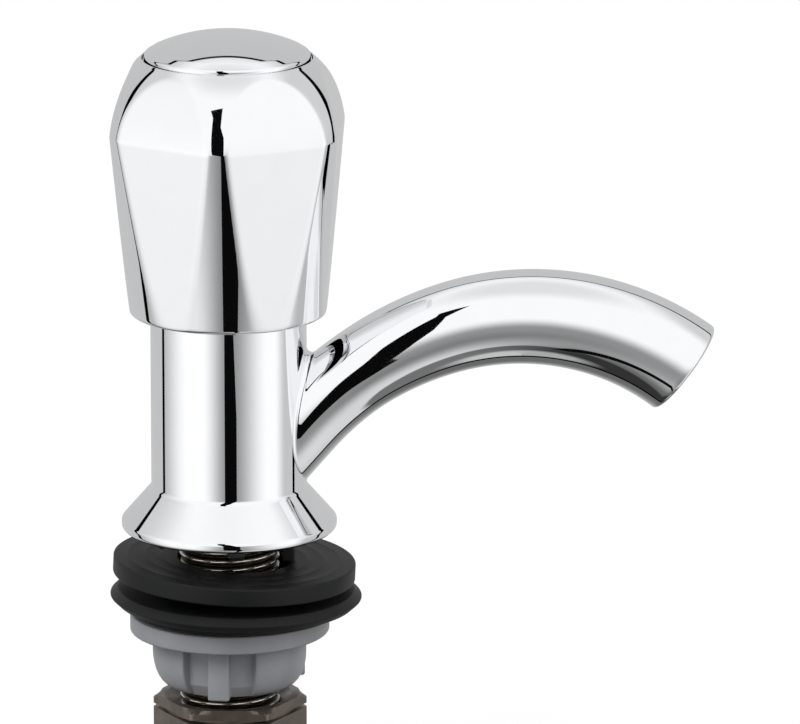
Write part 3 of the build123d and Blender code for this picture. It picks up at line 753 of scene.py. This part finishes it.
# %% [markdown]
# ## The moulded backnut
# The grey nut is one moulding: a round flange, a core with flat panels, three broad lobes
# that round off below, and three narrow ribs for the fingers. Each of those is a closed
# block that sinks into the core, so the mesh stays simple and every edge can be softened.

# %% Mould the flange, core, lobes and ribs
nut_low, nut_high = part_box("plastic_backnut")
nut_top, nut_foot = nut_high.z / mm, nut_low.z / mm
nut_flange_foot, nut_flange_radius = nut_top - 3.9, 20.9
lobe_radius = 16.2
panel_reach, panel_width = 13.7, 5.8
rib_width, rib_angle = 4.5, radians(-97.8)
thread_hole = 10.53
core_taper, core_taper_height = 1.2, 2.4
PANEL_FACING = 0.96

core_radius = hypot(panel_reach, panel_width / 2)
nut_outline = rounded(
    [
        (thread_hole, nut_top, 0.3),
        (thread_hole, nut_foot, 0.6),
        (core_radius - core_taper, nut_foot, 0.3),
        (core_radius, nut_foot + core_taper_height, 0.8),
        (core_radius, nut_flange_foot, 0.4),
        (nut_flange_radius, nut_flange_foot, 0.5),
        (nut_flange_radius, nut_top, 0.4),
    ]
)
nut = spun(nut_outline, steps=144)
panel_turn = (rib_width + panel_width) / 2 / lobe_radius
third = 2 * pi / 3
panel_angles = [rib_angle + third * i + way * panel_turn for i in range(3) for way in (-1, 1)]
for vert in nut.verts:
    radius = hypot(vert.co.x, vert.co.y) / mm
    z = vert.co.z / mm
    if z < nut_flange_foot - 0.1 and radius > panel_reach - 1.5:
        angle = atan2(vert.co.y, vert.co.x)
        facing = max(cos(angle - panel) for panel in panel_angles)
        inset = core_radius - radius
        new = min(radius, panel_reach / facing - inset) if facing > PANEL_FACING else radius
        vert.co.x *= new / radius
        vert.co.y *= new / radius
print("core faces", len(nut.faces))

# %% Add the lobes and the ribs
lobe_turn = third - 2 * (rib_width / 2 + panel_width) / lobe_radius
lobe_inner, lobe_foot, lobe_steps, lobe_round = 11.5, 12.6, 8, 0.35
rib_depth, rib_round = 4.4, 0.5
LOBE_SHARP = radians(50)
block_top = nut_flange_foot + 0.6
round_start = nut_flange_foot - 4.2


def add_block(block):
    """Copies a finished block into the nut."""
    holder = bpy.data.meshes.new("block")
    block.to_mesh(holder)
    block.free()
    nut.from_mesh(holder)
    bpy.data.meshes.remove(holder)


for i in range(3):
    section = [(lobe_inner, block_top), (lobe_inner, nut_foot + 0.05), (lobe_foot, nut_foot)]
    for step in range(1, lobe_steps + 1):
        turn = pi / 2 * step / lobe_steps
        across = lobe_foot + (lobe_radius - lobe_foot) * sin(turn)
        section.append((across, round_start - (round_start - nut_foot) * cos(turn)))
    section.append((lobe_radius, block_top))
    lobe_start = rib_angle + pi / 3 + third * i - lobe_turn / 2
    lobe = spun(section, steps=24, turn=lobe_turn, first=lobe_start)
    ends = [e for e in lobe.edges if len(e.link_faces) == 1]
    bmesh.ops.holes_fill(lobe, edges=ends, sides=0)
    bmesh.ops.recalc_face_normals(lobe, faces=lobe.faces)
    sharp = [e for e in lobe.edges if len(e.link_faces) == 2 and e.calc_face_angle(0) > LOBE_SHARP]
    soften(lobe, sharp, lobe_round * mm)
    add_block(lobe)
    rib = bmesh.new()
    bmesh.ops.create_cube(rib, size=1.0)
    bmesh.ops.scale(rib, vec=(rib_depth, rib_width, block_top - nut_foot), verts=rib.verts)
    rib_middle = (lobe_radius - rib_depth / 2, 0, (block_top + nut_foot) / 2)
    bmesh.ops.translate(rib, vec=rib_middle, verts=rib.verts)
    soften(rib, rib.edges[:], rib_round)
    place = Matrix.Rotation(rib_angle + third * i, 4, "Z") @ Matrix.Scale(mm, 4)
    bmesh.ops.transform(rib, matrix=place, verts=rib.verts)
    add_block(rib)
finish_piece(nut, "moulded_nut", "tap", "plastic_backnut")

# %% [markdown]
# ## The metal backnut
# A hexagon of dulled brass, turned so that its corners are rounded off, with a groove cut
# round it and a countersink round the thread. It is spun, and the flats draw its points
# in as on the knob, but with crisper edges.

# %% Turn the metal nut
metal_top, metal_height = -36.1, 8.0
metal_foot = metal_top - metal_height
flats_reach = 28.15 / 2
corner_reach = 16.1
chamfer_reach, chamfer_height = 14.6, 0.9
sink_reach, sink_depth = 12.9, 1.8
groove_top = metal_top - 2.2
groove_foot = groove_top - 0.8
groove_reach = flats_reach - 0.5
flat_from, flat_meeting = 14.0, 0.12

metal_outline = rounded(
    [
        (thread_hole, metal_foot, 0.2),
        (chamfer_reach, metal_foot, 0.2),
        (corner_reach, metal_foot + chamfer_height, 0.2),
        (corner_reach, groove_foot, 0.12),
        (groove_reach, groove_foot, 0.1),
        (groove_reach, groove_top, 0.1),
        (corner_reach, groove_top, 0.12),
        (corner_reach, metal_top - chamfer_height, 0.2),
        (chamfer_reach, metal_top, 0.2),
        (sink_reach, metal_top, 0.12),
        (thread_hole, metal_top - sink_depth, 0.2),
    ]
)
metal = spun(metal_outline, steps=360)
for vert in metal.verts:
    radius = hypot(vert.co.x, vert.co.y) / mm
    angle = atan2(vert.co.y, vert.co.x)
    off_flat = abs(angle % (pi / 3) - pi / 6)
    limit = flats_reach / cos(off_flat)
    new = soft_min(radius, limit, flat_meeting)
    if radius > flat_from and new < radius:
        vert.co.x *= new / radius
        vert.co.y *= new / radius
finish_piece(metal, "turned_nut", "tap", "metal_backnut")

# %% [markdown]
# ## Materials
# Each finish is one small tree of nodes round a Principled shader. Colours are written as
# they look on a screen and turned to linear light by one function. A pattern takes its
# scale from a real size, so it reads the same on every piece. Object coordinates are in
# metres here, because every piece sits at the origin.

# %% Colour and node helpers
def linear(hex_colour):
    """Linear red, green, blue and alpha of a screen colour such as #C0A060."""
    channels = [int(hex_colour[i : i + 2], 16) / 255 for i in (1, 3, 5)]
    return [c / 12.92 if c <= 0.04045 else ((c + 0.055) / 1.055) ** 2.4 for c in channels] + [1.0]


def add_node(tree, kind, inputs=None, **settings):
    """Adds a node, sets its properties, and fills or links its inputs."""
    node = tree.nodes.new(kind)
    for key, value in settings.items():
        setattr(node, key, value)
    for key, value in (inputs or {}).items():
        if isinstance(value, bpy.types.NodeSocket):
            tree.links.new(value, node.inputs[key])
        else:
            node.inputs[key].default_value = value
    return node


def new_material(name):
    """A material with an empty tree; gives the material, the tree and Object coordinates."""
    material = bpy.data.materials.new(name)
    material.use_nodes = True
    tree = material.node_tree
    tree.nodes.clear()
    place = add_node(tree, "ShaderNodeTexCoord").outputs["Object"]
    return material, tree, place


def close_material(tree, shader_kind, shader_inputs):
    """Adds the last shader of a tree and joins it to the material's output."""
    shader = add_node(tree, shader_kind, shader_inputs)
    add_node(tree, "ShaderNodeOutputMaterial", {"Surface": shader.outputs[0]})


finishes = {}
print("white is", linear("#FFFFFF")[:3])

# %% [markdown]
# ### Chrome plate
# Bright chrome over polished brass is close to a perfect mirror with a cool tint. What
# tells the eye it is a real tap and not a drawing is that the mirror is very slightly
# uneven: hand polishing leaves shallow waves some centimetres long, and handling leaves
# faint haze. Both are too weak to see by themselves.

# %% Mix the chrome
chrome, tree, place = new_material("polished_chrome_plate")
WAVE_SPACING = 0.018
HAZE_SPACING = 0.006
waves = add_node(
    tree, "ShaderNodeTexNoise", {"Vector": place, "Scale": 1 / WAVE_SPACING, "Detail": 1.0}
)
haze = add_node(tree, "ShaderNodeTexNoise", {"Vector": place, "Scale": 1 / HAZE_SPACING, "Detail": 4.0})
haze_range = {"From Min": 0.35, "From Max": 0.75, "To Min": 0.018, "To Max": 0.045}
gloss = add_node(tree, "ShaderNodeMapRange", {"Value": haze.outputs["Fac"], **haze_range})
# Sockets 6 and 7 of a colour Mix are its two colours, and output 2 is the blend
tint = add_node(
    tree,
    "ShaderNodeMix",
    {0: haze.outputs["Fac"], 6: linear("#F1F2F4"), 7: linear("#F6F7F8")},
    data_type="RGBA",
)
bump = add_node(
    tree, "ShaderNodeBump", {"Height": waves.outputs["Fac"], "Strength": 0.05, "Distance": 0.0002}
)
close_material(
    tree,
    "ShaderNodeBsdfPrincipled",
    {
        "Base Color": tint.outputs[2],
        "Metallic": 1.0,
        "Roughness": gloss.outputs["Result"],
        "Normal": bump.outputs["Normal"],
    },
)
finishes["chrome"] = chrome
print("chrome has", len(tree.nodes), "nodes")

# %% [markdown]
# ### Brass, three ways
# The tail is raw brass, coloured by its radius: the roots of its thread carry a painted
# shade in dark brown, and the crests a near-white painted highlight. The headwork inside is
# freshly turned brass. The metal nut has gone brown all over. All three are the same
# alloy, so they differ only in film, gloss and the tail's painted light.

# %% Raw brass of the tail
raw_brass, tree, place = new_material("raw_brass_thread")
STAIN_SPACING = 0.004
across = add_node(tree, "ShaderNodeVectorMath", {0: place, 1: (1, 1, 0)}, operation="MULTIPLY")
reach = add_node(tree, "ShaderNodeVectorMath", {0: across.outputs[0]}, operation="LENGTH")
crest = add_node(
    tree,
    "ShaderNodeMapRange",
    {"Value": reach.outputs["Value"], "From Min": 0.0098, "From Max": 0.0104},
)
stain = add_node(
    tree, "ShaderNodeTexNoise", {"Vector": place, "Scale": 1 / STAIN_SPACING, "Detail": 5.0}
)
# Painted shade for the thread's roots: two dark browns, mottled by the stain noise
painted_root_shade = add_node(
    tree,
    "ShaderNodeMix",
    {0: stain.outputs["Fac"], 6: linear("#2A231D"), 7: linear("#44382D")},
    data_type="RGBA",
)
# The crests are painted near white as a painted highlight over the root shade
colour = add_node(
    tree,
    "ShaderNodeMix",
    {0: crest.outputs["Result"], 6: painted_root_shade.outputs[2], 7: linear("#E2DDD4")},
    data_type="RGBA",
)
gloss = add_node(
    tree, "ShaderNodeMapRange", {"Value": crest.outputs["Result"], "To Min": 0.5, "To Max": 0.22}
)
close_material(
    tree,
    "ShaderNodeBsdfPrincipled",
    {"Base Color": colour.outputs[2], "Metallic": 1.0, "Roughness": gloss.outputs["Result"]},
)
finishes["raw_brass"] = raw_brass

# %% Turned brass inside, and the brown nut
turned_brass, tree, place = new_material("turned_brass")
TOOL_FEED = 0.00015
feed = add_node(tree, "ShaderNodeMapping", {"Vector": place, "Scale": (1, 1, 1 / TOOL_FEED)})
lines = add_node(tree, "ShaderNodeTexNoise", {"Vector": feed.outputs[0], "Scale": 1.0, "Detail": 1.0})
colour = add_node(
    tree,
    "ShaderNodeMix",
    {0: lines.outputs["Fac"], 6: linear("#C09A55"), 7: linear("#DDBB78")},
    data_type="RGBA",
)
bump = add_node(
    tree, "ShaderNodeBump", {"Height": lines.outputs["Fac"], "Strength": 0.2, "Distance": 0.00005}
)
close_material(
    tree,
    "ShaderNodeBsdfPrincipled",
    {
        "Base Color": colour.outputs[2],
        "Metallic": 1.0,
        "Roughness": 0.28,
        "Normal": bump.outputs["Normal"],
    },
)
finishes["brass"] = turned_brass

browned_brass, tree, place = new_material("browned_brass")
BLOTCH_SPACING = 0.005
blotch = add_node(
    tree, "ShaderNodeTexNoise", {"Vector": place, "Scale": 1 / BLOTCH_SPACING, "Detail": 6.0}
)
colour = add_node(
    tree,
    "ShaderNodeMix",
    {0: blotch.outputs["Fac"], 6: linear("#4C433C"), 7: linear("#92877E")},
    data_type="RGBA",
)
gloss = add_node(
    tree, "ShaderNodeMapRange", {"Value": blotch.outputs["Fac"], "To Min": 0.4, "To Max": 0.24}
)
bump = add_node(
    tree, "ShaderNodeBump", {"Height": blotch.outputs["Fac"], "Strength": 0.25, "Distance": 0.0001}
)
close_material(
    tree,
    "ShaderNodeBsdfPrincipled",
    {
        "Base Color": colour.outputs[2],
        "Metallic": 0.9,
        "Roughness": gloss.outputs["Result"],
        "Normal": bump.outputs["Normal"],
    },
)
finishes["dull_brass"] = browned_brass
print("metals:", ", ".join(sorted(finishes)))

# %% [markdown]
# ### Rubber and plastics
# These are all moulded, so each has a fine grain in relief and a faint cloud of two close
# colours. The washers are black rubber, nearly black and matt, with a little grey bloom.
# Under a soft light only their rounded edges catch a pale line. The small seals inside are
# a denser rubber with more gloss. The backnut is grey nylon with glass fibre, which leaves
# it dry and a little cloudy. The fin is black polypropylene. The straightener and the
# small valve parts are acetal, pale and waxy.

# %% Mix the rubbers and the plastics
RUBBER = {"fine": 3.0, "relief": 0.3, "depth": 0.0001, "cloud": 0.009, "folds": 4.0, "sheen": 0.25}
PLASTIC = {"fine": 2.0, "relief": 0.2, "depth": 0.00008, "cloud": 0.008, "folds": 3.0, "sheen": 0.5}
for slot_name, material_name, kind, grain, dark, pale, roughness, ior in (
    ("gasket_rubber", "moulded_black_rubber", RUBBER, 0.0006, "#090A0A", "#141516", 0.5, 1.52),
    ("seal_rubber", "nitrile_seal_rubber", RUBBER, 0.0004, "#101112", "#1B1C1D", 0.35, 1.52),
    ("grey_plastic", "glass_filled_nylon", PLASTIC, 0.0008, "#8A8B8F", "#A3A4A9", 0.42, 1.53),
    ("black_plastic", "black_polypropylene", PLASTIC, 0.0008, "#101112", "#1C1D1E", 0.4, 1.49),
    ("white_plastic", "white_acetal", PLASTIC, 0.0010, "#DEDDD7", "#EDECE6", 0.35, 1.48),
    ("grid_plastic", "grey_acetal", PLASTIC, 0.0010, "#B4B6B8", "#C6C8CA", 0.35, 1.48),
):
    moulded, tree, place = new_material(material_name)
    skin_inputs = {"Vector": place, "Scale": 1 / grain, "Detail": kind["fine"]}
    skin = add_node(tree, "ShaderNodeTexNoise", skin_inputs)
    cloud_inputs = {"Vector": place, "Scale": 1 / kind["cloud"], "Detail": kind["folds"]}
    cloud = add_node(tree, "ShaderNodeTexNoise", cloud_inputs)
    colour = add_node(
        tree,
        "ShaderNodeMix",
        {0: cloud.outputs["Fac"], 6: linear(dark), 7: linear(pale)},
        data_type="RGBA",
    )
    relief = {"Height": skin.outputs["Fac"], "Strength": kind["relief"], "Distance": kind["depth"]}
    bump = add_node(tree, "ShaderNodeBump", relief)
    close_material(
        tree,
        "ShaderNodeBsdfPrincipled",
        {
            "Base Color": colour.outputs[2],
            "Roughness": roughness,
            "IOR": ior,
            "Specular IOR Level": kind["sheen"],
            "Normal": bump.outputs["Normal"],
        },
    )
    finishes[slot_name] = moulded
print("moulded finishes done, now", len(finishes), "in all")

# %% [markdown]
# ### Steels
# The spring clip is blued carbon steel and the screws are stainless. Both hide inside, so
# fine drawn lines along the metal are enough to tell them from cast pieces.

# %% Mix the two steels
LINE_SPACING = 0.0012
for slot_name, material_name, dark, pale, roughness in (
    ("spring_steel", "blued_spring_steel", "#5E6268", "#8B9097", 0.3),
    ("screw_steel", "stainless_steel", "#A9ABAD", "#C9CBCD", 0.25),
):
    steel, tree, place = new_material(material_name)
    feed = add_node(tree, "ShaderNodeMapping", {"Vector": place, "Scale": (1, 1, 6)})
    line_inputs = {"Vector": feed.outputs[0], "Scale": 1 / LINE_SPACING, "Detail": 2.0}
    lines = add_node(tree, "ShaderNodeTexNoise", line_inputs)
    colour = add_node(
        tree,
        "ShaderNodeMix",
        {0: lines.outputs["Fac"], 6: linear(dark), 7: linear(pale)},
        data_type="RGBA",
    )
    close_material(
        tree,
        "ShaderNodeBsdfPrincipled",
        {"Base Color": colour.outputs[2], "Metallic": 1.0, "Roughness": roughness},
    )
    finishes[slot_name] = steel
print("finishes:", ", ".join(sorted(finishes)))

# %% [markdown]
# ## Dress every piece
# The record says which finish each node has. The new pieces take the finish of the node
# that they stand for, and the nodes that keep their own mesh take it from the record.

# %% Give each piece its finish
slot_of_node = {part["node"]: part["material_slot"] for part in frame["record"]["subparts"]}
for name, node in frame["nodes"].items():
    finish = finishes[slot_of_node[name]]
    if node.material_slots:
        for material_slot in node.material_slots:
            material_slot.material = finish
    else:
        node.data.materials.append(finish)
for name, piece in pieces.items():
    piece.data.materials.append(finishes[slot_of_node[stands_for[name]]])
print("dressed", len(frame["nodes"]), "nodes and", len(pieces), "pieces")

# %% [markdown]
# ## The studio
# Chrome shows the room and little else, so the room is the real material here. The
# photographer's room is a white tent that opens behind the tap. In front, two lit panels
# leave a grey slit between them, where the lens looks in. A thin dark seam runs round the
# tent's mouth, and the room beyond it is greyer. The light falls off towards the table. A
# world shader draws that room for mirror rays, while soft rays get an even white.

# %% Find every direction's place in the room
world = bpy.data.worlds.new("white_tent")
scene.world = world
world.use_nodes = True
tree = world.node_tree
tree.nodes.clear()
sky = add_node(tree, "ShaderNodeTexCoord").outputs["Generated"]
split = add_node(tree, "ShaderNodeSeparateXYZ", {0: sky})
height = add_node(tree, "ShaderNodeMath", {0: split.outputs["Z"]}, operation="ARCSINE").outputs[0]
nearer = add_node(tree, "ShaderNodeMath", {0: split.outputs["Y"], 1: -1.0}, operation="MULTIPLY")
around = add_node(
    tree, "ShaderNodeMath", {0: split.outputs["X"], 1: nearer.outputs[0]}, operation="ARCTAN2"
).outputs[0]
toward = add_node(tree, "ShaderNodeVectorMath", {0: sky, 1: away}, operation="DOT_PRODUCT")
opening = add_node(
    tree, "ShaderNodeMath", {0: toward.outputs["Value"]}, operation="ARCCOSINE"
).outputs[0]

# The seam narrows from its sides to its top
SEAM_START, SEAM_EDGE = 112.0, 0.6
seam_widths = {
    "From Min": radians(20),
    "From Max": radians(50),
    "To Min": radians(5.0),
    "To Max": radians(1.5),
}
seam_width = add_node(tree, "ShaderNodeMapRange", {"Value": height, **seam_widths})
past_seam = add_node(
    tree, "ShaderNodeMath", {0: opening, 1: seam_width.outputs[0]}, operation="SUBTRACT"
).outputs[0]
print("the seam starts", SEAM_START, "degrees from the lens")

# %% [markdown]
# Each tone goes smoothly from one value to another between two directions, in degrees:
# round the tap from the front, up from the level, or away from the lens. The tones are
# then added, multiplied and mixed into one room.

# %% Draw the room
SEAM_END = SEAM_START + SEAM_EDGE
tone = {}
for name, direction, start, end, low, high in (
    ("left_panel", around, -40, 0, 0.82, 0.0),
    ("right_panel", around, 5, 62, 0.0, 0.80),
    ("left_end", around, -120, -60, 0.42, 1.0),
    ("right_end", around, 72, 94, 1.0, 0.55),
    ("left_end_high", around, -120, -60, 0.65, 1.0),
    ("right_end_high", around, 72, 110, 1.0, 0.65),
    ("rising", height, -14, 12, 0.0, 1.0),
    ("roof", height, 55, 80, 1.0, 0.78),
    ("lower", height, -36, -12, 0.72, 1.0),
    ("overhead", height, 45, 66, 0.0, 1.0),
    ("sinking", height, -60, -30, 0.0, 1.0),
    ("under", around, -30, 26, 0.14, 0.72),
    ("table", height, -63, -60, 0.25, 1.0),
    ("stand", height, -82, -74, 0.4, 0.0),
    ("seam_in", opening, SEAM_START - SEAM_EDGE, SEAM_START, 1.0, 0.0),
    ("seam_out", past_seam, SEAM_START, SEAM_END, 0.0, 1.0),
    ("beyond", opening, SEAM_START, SEAM_START + 1.5, 0.0, 1.0),
    ("beyond_tone", height, -60, -20, 0.15, 0.58),
    ("soft", height, -30, 40, 0.15, 0.95),
):
    span = {"From Min": radians(start), "From Max": radians(end), "To Min": low, "To Max": high}
    smooth = add_node(
        tree, "ShaderNodeMapRange", {"Value": direction, **span}, interpolation_type="SMOOTHSTEP"
    )
    tone[name] = smooth.outputs[0]

rays = add_node(tree, "ShaderNodeLightPath")
tone.update(slit=0.30, high_tone=1.05, white=1.0)
tone.update(mirror_ray=rays.outputs["Is Glossy Ray"], camera_ray=rays.outputs["Is Camera Ray"])
for name, rule, first, second, share in (
    ("panels", "ADD", "left_panel", "right_panel", None),
    ("panels", "ADD", "panels", "slit", None),
    ("low_band", "MULTIPLY", "panels", "left_end", None),
    ("low_band", "MULTIPLY", "low_band", "right_end", None),
    ("low_band", "MULTIPLY", "low_band", "lower", None),
    ("high_ends", "MULTIPLY", "left_end_high", "right_end_high", None),
    ("high_ends", "MIX", "high_ends", "white", "overhead"),
    ("high_band", "MULTIPLY", "high_tone", "high_ends", None),
    ("front", "MIX", "low_band", "high_band", "rising"),
    ("front", "MULTIPLY", "front", "roof", None),
    ("front", "MIX", "under", "front", "sinking"),
    ("front", "MULTIPLY", "front", "table", None),
    ("front", "ADD", "front", "stand", None),
    ("room", "MIX", "front", "beyond_tone", "beyond"),
    ("seam", "ADD", "seam_in", "seam_out", None),
    ("room", "MULTIPLY", "room", "seam", None),
    ("seen", "MIX", "soft", "room", "mirror_ray"),
    ("seen", "MIX", "seen", "white", "camera_ray"),
):
    # Sockets 2 and 3 of a number Mix are its two numbers
    if rule == "MIX":
        ends = {0: tone[share], 2: tone[first], 3: tone[second]}
        joined = add_node(tree, "ShaderNodeMix", ends, data_type="FLOAT")
    else:
        joined = add_node(tree, "ShaderNodeMath", {0: tone[first], 1: tone[second]}, operation=rule)
    tone[name] = joined.outputs[0]
background = add_node(tree, "ShaderNodeBackground", {"Color": (1, 1, 1, 1), "Strength": tone["seen"]})
add_node(tree, "ShaderNodeOutputWorld", {"Surface": background.outputs[0]})
print("room drawn with", len(tree.nodes), "nodes")

# %% [markdown]
# A dark cloth hangs in the slit, with the lens behind it. It is near enough to the tap
# that its edges bend differently in the barrel, the knob and the spout, so it is a real
# card in the scene and not part of the far room. Only mirrors see it.

# %% Hang the dark card
CARD_DISTANCE = 150
card_foot = [(-13, -64), (24, -80), (22, -300), (36, -300), (41, -80)]
card_right = [(31, -40), (31, -8), (20, 12), (12, 50), (6, 88), (-6, 135), (-14, 165)]
card_left = [(-12, 247), (-48, 236), (-37, 200), (-34, 100), (-20, 50), (-13, 14)]
card_corners = card_foot + card_right + card_left

slit = bmesh.new()
slit.faces.new([slit.verts.new((x * mm, -CARD_DISTANCE * mm, z * mm)) for x, z in card_corners])
dark_card = add_object(slit, "dark_card")
for ray_kind in ("visible_camera", "visible_diffuse", "visible_shadow", "visible_transmission"):
    setattr(dark_card, ray_kind, False)
card_black, tree, place = new_material("black_card")
close_material(tree, "ShaderNodeEmission", {"Color": linear("#0A0A0B"), "Strength": 1.0})
dark_card.data.materials.append(card_black)
print("the card hangs", CARD_DISTANCE, "mm in front of the tap")

# %% [markdown]
# The tap stands on a plain sweep of white paper. Its glow keeps the paper as white as the
# backdrop and still lets a faint shadow show. Mirrors and soft light don't see it, because
# the room above already has a table.

# %% Lay the floor
FLOOR_DROP, FLOOR_SIZE = 0.0002, 6.0
PAPER_GLOW, FIBRE_SPACING = 0.85, 0.0025
floor_bm = bmesh.new()
bmesh.ops.create_grid(floor_bm, x_segments=1, y_segments=1, size=FLOOR_SIZE)
bmesh.ops.translate(floor_bm, vec=(0, 0, cad_low.z - FLOOR_DROP), verts=floor_bm.verts)
floor = add_object(floor_bm, "pale_floor")
floor.visible_glossy = False
floor.visible_diffuse = False
floor_white, tree, place = new_material("white_paper_sweep")
fibre = add_node(
    tree, "ShaderNodeTexNoise", {"Vector": place, "Scale": 1 / FIBRE_SPACING, "Detail": 2.0}
)
paper = add_node(
    tree,
    "ShaderNodeMix",
    {0: fibre.outputs["Fac"], 6: linear("#F8F8F8"), 7: linear("#FFFFFF")},
    data_type="RGBA",
)
matt = add_node(tree, "ShaderNodeBsdfDiffuse", {"Color": paper.outputs[2]})
white = add_node(tree, "ShaderNodeEmission", {"Color": (1, 1, 1, 1), "Strength": 1.0})
rays = add_node(tree, "ShaderNodeLightPath")
glow = add_node(
    tree, "ShaderNodeMath", {0: rays.outputs["Is Camera Ray"], 1: PAPER_GLOW}, operation="MULTIPLY"
)
close_material(
    tree, "ShaderNodeMixShader", {0: glow.outputs[0], 1: matt.outputs[0], 2: white.outputs[0]}
)
floor.data.materials.append(floor_white)
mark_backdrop(dark_card, floor)
print("floor at", round(cad_low.z - FLOOR_DROP, 4))

# %% [markdown]
# Two soft lamps give the rubber, the plastic and the thread their shading: a large one
# high on the left and a weaker one on the right. The chrome doesn't see them, because its
# room is already drawn.

# %% Hang the lamps
for name, place, size, power in (
    ("left_softbox", (-0.7, -0.6, 0.8), 0.6, 7.0),
    ("right_softbox", (0.8, -0.4, 0.5), 0.6, 2.5),
):
    lamp_data = bpy.data.lights.new(name, "AREA")
    lamp_data.size = size
    lamp_data.energy = power
    lamp = bpy.data.objects.new(name, lamp_data)
    lamp.location = place
    lamp.rotation_euler = (Vector(place) - SHOT_TARGET).to_track_quat("Z", "Y").to_euler()
    lamp.visible_glossy = False
    scene.collection.objects.link(lamp)
    print(name, power, "W")

# %% [markdown]
# ## Check the size and finish
# The looks must not change the tap's size, so the box round the dressed tap is printed.

# %% Print the visual box
low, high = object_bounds()
print("visual box", [round(v, 4) for v in low], [round(v, 4) for v in high])
